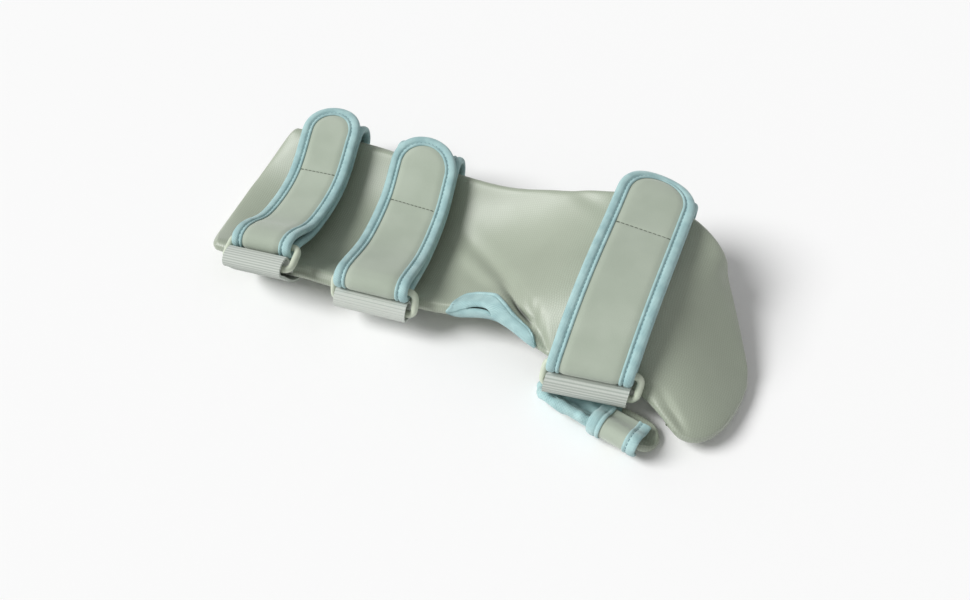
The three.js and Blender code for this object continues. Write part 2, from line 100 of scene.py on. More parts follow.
class Value:
    """A shader socket that adds Math nodes when it is used in an expression."""

    def __init__(self, tree: "ShaderTree", socket: bpy.types.NodeSocket | None) -> None:
        """Wrap one output socket of a tree, or none of a node without outputs."""
        self.tree = tree
        self.socket = socket

    def math(self, operation: str, other: Number = 0.0, flip: bool = False) -> "Value":
        """Add one Math node.

        Args:
            operation: The Math node's operation.
            other: The second operand.
            flip: Whether the other operand comes first.

        Returns:
            The node's result.
        """
        first, second = (other, self) if flip else (self, other)
        return self.tree.node("ShaderNodeMath", {"operation": operation}, {0: first, 1: second})

    def __add__(self, other: Number) -> "Value":
        """Add."""
        return self.math("ADD", other)

    def __radd__(self, other: Number) -> "Value":
        """Add to a number."""
        return self.math("ADD", other, True)

    def __sub__(self, other: Number) -> "Value":
        """Subtract."""
        return self.math("SUBTRACT", other)

    def __rsub__(self, other: Number) -> "Value":
        """Subtract from a number."""
        return self.math("SUBTRACT", other, True)

    def __mul__(self, other: Number) -> "Value":
        """Multiply."""
        return self.math("MULTIPLY", other)

    def __rmul__(self, other: Number) -> "Value":
        """Multiply a number."""
        return self.math("MULTIPLY", other, True)

    def __truediv__(self, other: Number) -> "Value":
        """Divide."""
        return self.math("DIVIDE", other)

    def __pow__(self, other: Number) -> "Value":
        """Raise to a power."""
        return self.math("POWER", other)

    def sine(self) -> "Value":
        """The sine of an angle in radians."""
        return self.math("SINE")

    def size(self) -> "Value":
        """The value without its sign."""
        return self.math("ABSOLUTE")

    def fraction(self) -> "Value":
        """What is left over the whole number below."""
        return self.math("FRACT")

    def ramp(self, low: float, high: float) -> "Value":
        """A smooth step from 0 at low to 1 at high."""
        return self.tree.node(
            "ShaderNodeMapRange",
            {"interpolation_type": "SMOOTHSTEP"},
            {"Value": self, "From Min": low, "From Max": high},
        )

    def other(self, name: str) -> "Value":
        """Another output of the same node."""
        return Value(self.tree, self.socket.node.outputs[name])


class ShaderTree:
    """The node tree of one new material."""

    def __init__(self, name: str) -> None:
        """Make an empty material."""
        self.material = bpy.data.materials.new(name)
        self.material.use_nodes = True
        self.nodes = self.material.node_tree.nodes
        self.links = self.material.node_tree.links
        self.nodes.clear()

    def node(
        self, kind: str, settings: dict | None = None, inputs: dict | None = None, output: int = 0
    ) -> Value:
        """Add any node.

        Args:
            kind: The node's type.
            settings: Its own settings, set first.
            inputs: The value or link of each socket, by name or index.
            output: The output to return.

        Returns:
            The chosen output.
        """
        made = self.nodes.new(kind)
        for key, setting in (settings or {}).items():
            setattr(made, key, setting)
        for key, given in (inputs or {}).items():
            if isinstance(given, Value):
                self.links.new(given.socket, made.inputs[key])
            else:
                made.inputs[key].default_value = given
        return Value(self, made.outputs[output] if made.outputs else None)

    def flat(self) -> tuple[Value, Value]:
        """The two coordinates of the piece's own flat pattern, in metres.

        Returns:
            The distances along and across.
        """
        vector = self.node("ShaderNodeTexCoord").other("UV")
        along = self.node("ShaderNodeSeparateXYZ", {}, {0: vector})
        return along, along.other("Y")

    def noise(self, grain: float, detail: float = 2.0) -> Value:
        """Cloudy noise from 0 to 1 on the piece's place.

        Args:
            grain: The size of one cloud in metres.
            detail: How many finer layers it has.

        Returns:
            The noise value.
        """
        vector = self.node("ShaderNodeTexCoord").other("Object")
        return self.node("ShaderNodeTexNoise", {}, {"Vector": vector, "Scale": 1 / grain, "Detail": detail})

    def blend(self, share: Number, first: "Value | Colour", second: "Value | Colour") -> Value:
        """Mix two colours by a share from 0 to 1."""
        return self.node("ShaderNodeMix", {"data_type": "RGBA"}, {0: share, 6: first, 7: second}, 2)

    def bump(self, height: Value, depth: float) -> Value:
        """A bumped normal whose height of 1 stands for a depth in metres."""
        return self.node("ShaderNodeBump", {}, {"Strength": 1.0, "Distance": depth, "Height": height})

    def surface(self, inputs: dict) -> bpy.types.Material:
        """Close the material with a Principled shader.

        Args:
            inputs: The shader's sockets.

        Returns:
            The finished material.
        """
        shader = self.node("ShaderNodeBsdfPrincipled", {}, inputs)
        self.node("ShaderNodeOutputMaterial", {}, {"Surface": shader})
        return self.material


@dataclass(frozen=True)
class KnitCover:
    """Shiny warp knit stretched over foam: rows of slanted loops, with painted shade in the loop hollows and
    in the pad's deep folds.
    """

    light: Colour = srgb(170, 179, 162)
    shade: Colour = srgb(150, 159, 142)
    # painted shade: the darker colour laid into the hollows between the loops
    hollow_shade: Colour = srgb(138, 143, 122)
    # painted shade: the near-black colour painted inside deep folds and the mouth's slit
    fold_shade_colour: Colour = srgb(34, 42, 34)
    pitch: float = 1.5 * MM
    lean: float = 0.45
    depth: float = 0.045 * MM
    cloud: float = 45 * MM
    fluff: float = 0.35 * MM

    def material(self) -> bpy.types.Material:
        """Make the material.

        Returns:
            The finished material.
        """
        tree = ShaderTree("knit_cover")
        along, across = tree.flat()
        wale = ((across / self.pitch).fraction() - 0.5).size() * 2
        course = ((along / self.pitch + wale * self.lean) * math.tau).sine() * 0.5 + 0.5
        loop = course * (1 - wale**4)
        tone = tree.noise(self.cloud, 3.0).ramp(0.3, 0.7)
        # random tone, and the loops painted lighter than their hollows as painted shading
        cloth = tree.blend(tone * 0.35 + loop * 0.35 + 0.2, self.shade, self.light)
        # painted shade in the hollows between the loops
        base = tree.blend((0.22 - loop).ramp(0.0, 0.22) * 0.3, cloth, self.hollow_shade)
        fine = tree.noise(self.fluff, 1.0)
        fold = tree.node("ShaderNodeAttribute", {"attribute_name": FOLD}).other("Fac")
        return tree.surface(
            {
                # painted shade inside the folds marked on the pad
                "Base Color": tree.blend(fold.ramp(0.3, 1.0) * 0.85, base, self.fold_shade_colour),
                "Roughness": 0.46 - loop * 0.06,
                "Normal": tree.bump(loop + fine * 0.25, self.depth),
                "Sheen Weight": 0.25,
                "Sheen Roughness": 0.4,
                "Specular IOR Level": 0.7,
            }
        )


@dataclass(frozen=True)
class StrapCloth:
    """Soft napped cloth laminated to foam."""

    light: Colour = srgb(178, 188, 173)
    shade: Colour = srgb(164, 175, 159)
    cloud: float = 22 * MM
    nap: float = 0.55 * MM
    rib: float = 0.9 * MM
    depth: float = 0.09 * MM

    def material(self) -> bpy.types.Material:
        """Make the material.

        Returns:
            The finished material.
        """
        tree = ShaderTree("strap_cloth")
        along, across = tree.flat()
        nap = tree.noise(self.nap, 2.0)
        weave = ((along / self.rib) * math.tau).sine() * ((across / self.rib) * math.tau).sine()
        tone = tree.noise(self.cloud, 2.0).ramp(0.25, 0.75)
        base = tree.blend(tone * 0.6 + nap * 0.35, self.shade, self.light)
        return tree.surface(
            {
                "Base Color": base,
                "Roughness": 0.82 + nap * 0.1,
                "Normal": tree.bump(nap + weave * 0.3, self.depth),
                "Sheen Weight": 0.35,
                "Sheen Roughness": 0.5,
                "Specular IOR Level": 0.3,
            }
        )


@dataclass(frozen=True)
class EdgeTape:
    """Light blue knitted binding with fine ribs along its fold."""

    light: Colour = srgb(188, 220, 219)
    shade: Colour = srgb(138, 175, 178)
    rib: float = 0.8 * MM
    lean: float = 0.6
    cloud: float = 7 * MM
    depth: float = 0.18 * MM

    def material(self) -> bpy.types.Material:
        """Make the material.

        Returns:
            The finished material.
        """
        tree = ShaderTree("edge_tape")
        along, across = tree.flat()
        twill = (((along + across * self.lean) / self.rib) * math.tau).sine() * 0.5 + 0.5
        wale = (((across - along * self.lean) / self.rib) * math.tau).sine() * 0.5 + 0.5
        weave = twill * 0.65 + wale * 0.35
        tone = tree.noise(self.cloud, 3.0).ramp(0.25, 0.75)
        base = tree.blend(weave * 0.55 + tone * 0.45, self.shade, self.light)
        return tree.surface(
            {
                "Base Color": base,
                "Roughness": 0.78 - weave * 0.12,
                "Normal": tree.bump(weave + tone * 0.3, self.depth),
                "Sheen Weight": 0.3,
                "Sheen Roughness": 0.45,
                "Specular IOR Level": 0.35,
            }
        )


@dataclass(frozen=True)
class SewingThread:
    """Twisted sewing thread, coloured darker than the thread itself as painted shade of the groove that it
    lies in.
    """

    # thread colour, partly the thread's own and partly darkened as painted shade of its groove
    light: Colour = srgb(128, 160, 166)
    shade: Colour = srgb(80, 112, 120)
    twist: float = 0.35 * MM
    depth: float = 0.06 * MM
    name: str = "blue_thread_and_groove_shade"

    def material(self) -> bpy.types.Material:
        """Make the material.

        Returns:
            The finished material.
        """
        tree = ShaderTree(self.name)
        strand = tree.noise(self.twist, 1.0)
        return tree.surface(
            {
                "Base Color": tree.blend(strand, self.shade, self.light),
                "Roughness": 0.6 + strand * 0.2,
                "Normal": tree.bump(strand, self.depth),
                "Sheen Weight": 0.2,
                "Specular IOR Level": 0.4,
            }
        )


@dataclass(frozen=True)
class RibbedWebbing:
    """Pale woven webbing with ribs across it, with painted shade in the grooves between the ribs."""

    light: Colour = srgb(204, 209, 202)
    shade: Colour = srgb(166, 174, 166)
    rib: float = 1.35 * MM
    pick: float = 0.8 * MM
    fluff: float = 0.5 * MM
    depth: float = 0.1 * MM

    def material(self) -> bpy.types.Material:
        """Make the material.

        Returns:
            The finished material.
        """
        tree = ShaderTree("ribbed_webbing")
        along, across = tree.flat()
        crown = ((along / self.rib) * math.pi).sine().size()
        yarn = ((across / self.pick + (along / self.rib).fraction() * 0.5) * math.tau).sine() * 0.5 + 0.5
        fine = tree.noise(self.fluff, 2.0)
        # painted shade: the ribs' crowns lighter and the grooves between them darker
        base = tree.blend(crown.ramp(0.1, 0.75) * 0.75 + yarn * 0.2, self.shade, self.light)
        return tree.surface(
            {
                "Base Color": base,
                "Roughness": 0.85 - crown * 0.1,
                "Normal": tree.bump(crown * 0.6 + yarn * 0.3 + fine * 0.3, self.depth),
                "Sheen Weight": 0.2,
                "Specular IOR Level": 0.3,
            }
        )


@dataclass(frozen=True)
class RingPlastic:
    """Pale moulded plastic with a soft gloss and faint scuffs."""

    light: Colour = srgb(208, 216, 197)
    shade: Colour = srgb(188, 198, 178)
    cloud: float = 9 * MM
    scuff: float = 0.8 * MM
    depth: float = 0.05 * MM

    def material(self) -> bpy.types.Material:
        """Make the material.

        Returns:
            The finished material.
        """
        tree = ShaderTree("ring_plastic")
        tone = tree.noise(self.cloud, 2.0)
        scuff = tree.noise(self.scuff, 3.0)
        return tree.surface(
            {
                "Base Color": tree.blend(tone, self.shade, self.light),
                "Roughness": 0.3 + scuff.ramp(0.5, 0.8) * 0.2,
                "Normal": tree.bump(scuff, self.depth),
                "Coat Weight": 0.15,
                "Coat Roughness": 0.2,
                "Specular IOR Level": 0.5,
            }
        )


class Finishes:
    """One material of each finish, shared by all the pieces that have it."""

    def __init__(self) -> None:
        """Make every material once."""
        self.knit = KnitCover().material()
        self.strap = StrapCloth().material()
        self.tape = EdgeTape().material()
        self.webbing = RibbedWebbing().material()
        self.plastic = RingPlastic().material()
        self.blue_thread_and_groove_shade = SewingThread().material()
        # the sage thread's colours, darkened as painted shade of the patch's stitch groove
        self.sage_thread_and_groove_shade = SewingThread(srgb(112, 120, 106), srgb(70, 78, 66), name="sage_thread_and_groove_shade").material()


def select_only(piece: bpy.types.Object) -> None:
    """Select one object alone and make it active.

    Args:
        piece: The object.
    """
    if bpy.context.object and bpy.context.object.mode != "OBJECT":
        bpy.ops.object.mode_set(mode="OBJECT")
    bpy.ops.object.select_all(action="DESELECT")
    piece.select_set(True)
    bpy.context.view_layer.objects.active = piece


def apply_modifier(piece: bpy.types.Object, kind: str, **settings: object) -> None:
    """Add a modifier to a piece and apply it.

    Args:
        piece: The object to change.
        kind: The modifier's type.
        settings: The modifier's own settings.
    """
    select_only(piece)
    bpy.ops.object.modifier_add(type=kind)
    modifier = piece.modifiers[-1]
    for key, setting in settings.items():
        setattr(modifier, key, setting)
    bpy.ops.object.modifier_apply(modifier=modifier.name)


def vertex_rows(piece: bpy.types.Object, kind: str) -> np.ndarray:
    """One vector of each of a mesh's vertices, as rows.

    Args:
        piece: The mesh object.
        kind: The vertex property to read.

    Returns:
        The vectors.
    """
    flat = np.empty(len(piece.data.vertices) * 3, np.float32)
    piece.data.vertices.foreach_get(kind, flat)
    return flat.reshape(-1, 3).astype(float)


def places_of(piece: bpy.types.Object) -> np.ndarray:
    """The places of a mesh's vertices as rows."""
    return vertex_rows(piece, "co")


def normals_of(piece: bpy.types.Object) -> np.ndarray:
    """The normals of a mesh's vertices as rows."""
    return vertex_rows(piece, "normal")


def move_to(piece: bpy.types.Object, places: np.ndarray) -> None:
    """Move a mesh's vertices to the given places."""
    piece.data.vertices.foreach_set("co", places.astype(np.float32).ravel())
    piece.data.update()


def set_flat(piece: bpy.types.Object, flat: np.ndarray) -> None:
    """Write each vertex's flat pattern place, in metres, as the mesh's UV map.

    Args:
        piece: The mesh object.
        flat: The place of each vertex on the flat pattern.
    """
    mesh = piece.data
    layer = mesh.uv_layers.active or mesh.uv_layers.new(name="flat_pattern")
    corner = np.empty(len(mesh.loops), np.int32)
    mesh.loops.foreach_get("vertex_index", corner)
    layer.data.foreach_set("uv", flat[corner].astype(np.float32).ravel())


def laid_grid(
    name: str, rows: int, columns: int, place: Place, size: tuple[float, float]
) -> bpy.types.Object:
    """Add a grid primitive and lay it out over a curved surface.

    Args:
        name: The new object's name.
        rows: How many faces it has along the surface.
        columns: How many faces it has across the surface.
        place: Gives the places for shares from 0 to 1 along and across.
        size: The flat length and width of the sheet in metres.

    Returns:
        The new object.
    """
    bpy.ops.object.select_all(action="DESELECT")
    bpy.ops.mesh.primitive_grid_add(x_subdivisions=rows, y_subdivisions=columns, size=1.0)
    piece = bpy.context.object
    piece.name = name
    piece.data.name = name
    shares = np.clip(places_of(piece)[:, :2] + 0.5, 0.0, 1.0)
    set_flat(piece, shares * np.array(size))
    move_to(piece, place(shares[:, 0], shares[:, 1]))
    return piece


def solid_copy(node: str, name: str) -> bpy.types.Object:
    """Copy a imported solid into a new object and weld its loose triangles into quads.

    Args:
        node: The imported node.
        name: The new object's name.

    Returns:
        The new object.
    """
    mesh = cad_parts[node].data.copy()
    mesh.materials.clear()
    piece = bpy.data.objects.new(name, mesh)
    bpy.context.scene.collection.objects.link(piece)
    select_only(piece)
    bpy.ops.object.mode_set(mode="EDIT")
    bpy.ops.mesh.select_all(action="SELECT")
    bpy.ops.mesh.remove_doubles(threshold=WELD)
    bpy.ops.mesh.tris_convert_to_quads(face_threshold=math.radians(60), shape_threshold=math.radians(60))
    bpy.ops.object.mode_set(mode="OBJECT")
    return piece


def smooth_through(piece: bpy.types.Object, levels: int, passes: int = 4) -> None:
    """Subdivide a mesh into a smooth one that still runs through its own corners.

    Args:
        piece: The object to change.
        levels: How often each face is halved.
        passes: How often the corners are corrected.
    """
    aim = places_of(piece)
    for _ in range(passes):
        trial = piece.copy()
        trial.data = piece.data.copy()
        bpy.context.scene.collection.objects.link(trial)
        apply_modifier(trial, "SUBSURF", levels=levels, render_levels=levels)
        reached = places_of(trial)[: len(aim)]
        bpy.data.meshes.remove(trial.data)
        move_to(piece, places_of(piece) + aim - reached)
    apply_modifier(piece, "SUBSURF", levels=levels, render_levels=levels)


def dress(
    piece: bpy.types.Object, material: bpy.types.Material, nodes: Iterable[str] = ()
) -> None:
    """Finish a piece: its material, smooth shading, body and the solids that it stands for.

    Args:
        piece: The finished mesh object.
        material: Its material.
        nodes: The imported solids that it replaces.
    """
    piece.data.materials.clear()
    piece.data.materials.append(material)
    select_only(piece)
    bpy.ops.object.shade_smooth_by_angle(angle=math.radians(50))
    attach(piece, BODY)
    for node in nodes:
        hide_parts(node)
    LOG.info("%s: %d faces", piece.name, len(piece.data.polygons))


def unit(rows: np.ndarray) -> np.ndarray:
    """Scale each row to length one."""
    return rows / np.maximum(np.linalg.norm(rows, axis=-1, keepdims=True), 1e-12)


def run_of(points: np.ndarray) -> np.ndarray:
    """The distance of each point along the line through all of them."""
    return np.concatenate([[0.0], np.cumsum(np.linalg.norm(np.diff(points, axis=0), axis=1))])


def through(knots: np.ndarray, rows: np.ndarray, at: np.ndarray) -> np.ndarray:
    """Read a smooth line through rows of values.

    Args:
        knots: The distance of each row along the line.
        rows: The values.
        at: The distances to read.

    Returns:
        The values there.
    """
    slopes = np.gradient(rows, knots, axis=0)
    i = np.clip(np.searchsorted(knots, at, side="right") - 1, 0, len(knots) - 2)
    span = (knots[i + 1] - knots[i])[:, None]
    t = (at - knots[i])[:, None] / span
    return (
        (2 * t**3 - 3 * t**2 + 1) * rows[i]
        + (t**3 - 2 * t**2 + t) * span * slopes[i]
        + (3 * t**2 - 2 * t**3) * rows[i + 1]
        + (t**3 - t**2) * span * slopes[i + 1]
    )


class BandSurface:
    """The middle layer of a flat band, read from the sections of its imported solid."""

    def __init__(self, node: str, outward: Vector) -> None:
        """Read a band.

        Args:
            node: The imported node, a row of four-cornered sections.
            outward: The way that its upper face looks at the first section.
        """
        self.corners, self.links = self._welded(node)
        edges = [self._edge(side) for side in self._sides()]
        opposite = {near for corner in edges[0][0] for near in self.links[corner]}
        if opposite.isdisjoint(edges[1][0]):
            edges[1].reverse()
        left, right = (self.corners[np.array(edge)] for edge in edges)
        self.half = float(np.linalg.norm(left.mean(1) - right.mean(1), axis=1).max()) / 2
        middle = (left.mean(1) + right.mean(1)) / 2
        self.knots = run_of(middle)
        self.length = float(self.knots[-1])
        self.middle = middle
        self.side = unit(right.mean(1) - left.mean(1))
        self.normal = self._normals(left, outward)

    @staticmethod
    def _welded(node: str) -> tuple[np.ndarray, list[list[int]]]:
        """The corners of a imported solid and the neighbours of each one.

        Args:
            node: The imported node.

        Returns:
            The corners as rows, and for each one the numbers of its neighbours.
        """
        mesh = bmesh.new()
        mesh.from_mesh(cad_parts[node].data)
        bmesh.ops.remove_doubles(mesh, verts=mesh.verts, dist=WELD)
        mesh.verts.index_update()
        corners = np.array([vertex.co[:] for vertex in mesh.verts])
        links = [[edge.other_vert(vertex).index for edge in vertex.link_edges] for vertex in mesh.verts]
        mesh.free()
        return corners, links

    def _sides(self) -> list[set[int]]:
        """The corners on the elbow side and on the fingertip side of the band's middle line.

        Returns:
            Two sets of corner numbers.
        """
        x = self.corners[:, 0]
        right = np.array([x[k] > x[near].mean() for k, near in enumerate(self.links)])
        return [set(np.flatnonzero(~right).tolist()), set(np.flatnonzero(right).tolist())]

    def _levels(self, start: set[int], members: set[int]) -> dict[int, int]:
        """How many steps each corner of one side lies from the starting corners.

        Args:
            start: The starting corners.
            members: All the corners of the side.

        Returns:
            The steps by corner number.
        """
        levels = dict.fromkeys(start, 0)
        front = list(start)
        while front:
            reached = [
                other
                for corner in front
                for other in self.links[corner]
                if other in members and other not in levels
            ]
            depth = levels[front[0]] + 1
            levels.update(dict.fromkeys(reached, depth))
            front = list(dict.fromkeys(reached))
        return levels

    def _edge(self, members: set[int]) -> list[list[int]]:
        """The pairs of corners along one side of the band, from its wide end on.

        Args:
            members: All the corners of the side.

        Returns:
            The pairs in order.
        """
        tips = []
        start = next(iter(members))
        for _ in range(2):
            levels = self._levels({start}, members)
            start = max(levels, key=levels.get)
            tips.append(start)
        tip = max(tips, key=lambda corner: self._gap(corner, set(self.links[corner]) - members))
        options = [self._rows({tip, mate}, members) for mate in self.links[tip] if mate in members]
        return next(rows for rows in options if all(len(row) == 2 for row in rows))

    def _rows(self, start: set[int], members: set[int]) -> list[list[int]]:
        """The corners of one side, row by row from the starting corners on.

        Args:
            start: The starting corners.
            members: All the corners of the side.

        Returns:
            The rows in order.
        """
        levels = self._levels(start, members)
        rows: list[list[int]] = [[] for _ in range(max(levels.values()) + 1)]
        for corner, level in levels.items():
            rows[level].append(corner)
        return rows

    def _gap(self, corner: int, others: set[int]) -> float:
        """The distance from a corner to the nearest of some others."""
        gaps = (float(np.linalg.norm(self.corners[corner] - self.corners[k])) for k in others)
        return min(gaps, default=0.0)

    def _normals(self, pairs: np.ndarray, outward: Vector) -> np.ndarray:
        """The unit normals of the sections, all on the upper face.

        Args:
            pairs: The two corners of each section on one side.
            outward: The way that the upper face looks at the first section.

        Returns:
            The normals as rows.
        """
        normals = unit(pairs[:, 0] - pairs[:, 1])
        before = np.array(outward)
        for k, normal in enumerate(normals):
            if normal @ before < 0:
                normals[k] = -normal
            before = normals[k]
        return normals

    def spots(self, along: np.ndarray, sideways: np.ndarray, off: np.ndarray) -> np.ndarray:
        """Places on or off the band.

        Args:
            along: Distances from the first section.
            sideways: Distances from the middle line.
            off: Heights off the middle layer.

        Returns:
            The places as rows.
        """
        middle = through(self.knots, self.middle, along)
        side = unit(through(self.knots, self.side, along))
        normal = unit(through(self.knots, self.normal, along))
        return middle + side * sideways[:, None] + normal * off[:, None]

    def sheet(self, name: str, rows: int, columns: int, height: Height) -> bpy.types.Object:
        """Lay a grid over the whole band.

        Args:
            name: The new object's name.
            rows: How many faces it has along the band.
            columns: How many faces it has across the band.
            height: Gives the heights off the middle layer for distances along the band.

        Returns:
            The new object.
        """

        def place(u: np.ndarray, v: np.ndarray) -> np.ndarray:
            """The place of a share along and across the band."""
            along = u * self.length
            return self.spots(along, (2 * v - 1) * self.half, height(along))

        return laid_grid(name, rows, columns, place, (self.length, 2 * self.half))


@dataclass
class StitchRow:
    """A row of raised stitches along a line, all in one mesh."""

    name: str
    pitch: float = 2.7 * MM
    length: float = 1.9 * MM
    thick: float = 0.5 * MM
    sides: int = 6
    rings: int = 5

    def build(self, rows: list[tuple[np.ndarray, np.ndarray]]) -> bpy.types.Object:
        """Lay stitches end to end along lines.

        Args:
            rows: For each line, its points and the normals of the cloth there.

        Returns:
            The joined mesh object.
        """
        bpy.ops.object.select_all(action="DESELECT")
        bpy.ops.mesh.primitive_uv_sphere_add(segments=self.sides, ring_count=self.rings, radius=0.5)
        piece = bpy.context.object
        piece.name = self.name
        shape = places_of(piece)[:, [2, 0, 1]] * np.array([self.length, self.thick, self.thick])
        faces = [list(polygon.vertices) for polygon in piece.data.polygons]
        places: list[np.ndarray] = []
        for points, normals in rows:
            places.extend(self._stitches(shape, points, normals))
        count = len(shape)
        joined = [[k + i * count for k in face] for i in range(len(places)) for face in faces]
        piece.data.clear_geometry()
        piece.data.from_pydata(np.concatenate(places).tolist(), [], joined)
        piece.data.update()
        return piece

    def _stitches(self, shape: np.ndarray, points: np.ndarray, normals: np.ndarray) -> list[np.ndarray]:
        """Copies of one stitch, turned to follow a line.

        Args:
            shape: The places of one stitch's vertices.
            points: The points of the line.
            normals: The normals of the cloth there.

        Returns:
            The places of each copy.
        """
        knots = run_of(points)
        at = np.arange(self.pitch / 2, knots[-1], self.pitch)
        middles = through(knots, points, at)
        ways = unit(through(knots, points, at + self.pitch / 4) - through(knots, points, at - self.pitch / 4))
        ups = unit(through(knots, normals, at))
        sides = unit(np.cross(ups, ways))
        return [
            middle + shape[:, :1] * way + shape[:, 1:2] * side + shape[:, 2:] * up
            for middle, way, side, up in zip(middles, ways, sides, np.cross(ways, sides))
        ]


@dataclass
class Binding:
    """Tape folded over the edge of a band and sewn through, with a groove where the stitches pull it in."""

    cover: float = 6.8 * MM
    groove: float = 4.6 * MM
    groove_off: float = 1.15 * MM
    wall: float = 0.5 * MM
    step: float = 1.1 * MM
    fullness: float = 1.0
    # How far in from the edge, and how far off the band's middle layer
    section: tuple[tuple[float, float], ...] = (
        (6.8, 1.45),
        (6.6, 1.8),
        (6.15, 2.05),
        (5.6, 2.05),
        (5.2, 1.7),
        (4.9, 1.3),
        (4.6, 1.15),
        (4.3, 1.3),
        (4.0, 1.75),
        (3.3, 2.1),
        (2.3, 2.2),
        (1.1, 2.05),
        (0.3, 1.7),
        (-0.25, 1.1),
        (-0.6, 0.45),
    )

    def profile(self) -> np.ndarray:
        """The whole section from the upper face's inner edge round the fold to the lower one's."""
        upper = np.array(self.section) * np.array([MM, self.fullness * MM])
        return np.concatenate([upper, (upper * np.array([1, -1]))[::-1]])

    def build(self, name: str, band: BandSurface, path: np.ndarray) -> bpy.types.Object:
        """Sweep the folded tape along an edge.

        Args:
            name: The new object's name.
            band: The band whose edge it binds.
            path: Rows of distance along the band, distance from its middle line and turn of the edge.

        Returns:
            The tape.
        """
        profile = self.profile()
        run = run_of(path[:, :2])
        girth = run_of(profile)

        def place(u: np.ndarray, v: np.ndarray) -> np.ndarray:
            """The place of a share along the edge and round the fold."""
            spot = through(run, path, u * run[-1])
            fold = through(girth, profile, v * girth[-1])
            return self._spots(band, spot, fold[:, 0], fold[:, 1])

        rows = round(run[-1] / self.step)
        piece = laid_grid(name, rows, len(profile), place, (run[-1], girth[-1]))
        apply_modifier(piece, "SOLIDIFY", thickness=self.wall, offset=-1.0)
        return piece

    def seam(self, band: BandSurface, path: np.ndarray, face: Face) -> tuple[np.ndarray, np.ndarray]:
        """The line of the stitches on one face, with the normals there.

        Args:
            band: The band whose edge is bound.
            path: The rows of the edge, as for the tape.
            face: The face of the band.

        Returns:
            The points and the normals as rows.
        """
        inward = np.full(len(path), self.groove)
        off = self.groove_off * self.fullness
        low = self._spots(band, path, inward, np.full(len(path), face.value * off))
        high = self._spots(band, path, inward, np.full(len(path), face.value * 2 * off))
        return low, unit(high - low)

    @staticmethod
    def _spots(band: BandSurface, spot: np.ndarray, inward: np.ndarray, off: np.ndarray) -> np.ndarray:
        """Places in from the edge and off the middle layer.

        Args:
            band: The band whose edge is bound.
            spot: Rows of the edge's path.
            inward: Distances in from the edge.
            off: Heights off the middle layer.

        Returns:
            The places as rows.
        """
        along = spot[:, 0] - inward * np.sin(spot[:, 2])
        sideways = spot[:, 1] - inward * np.cos(spot[:, 2])
        return band.spots(along, sideways, off)


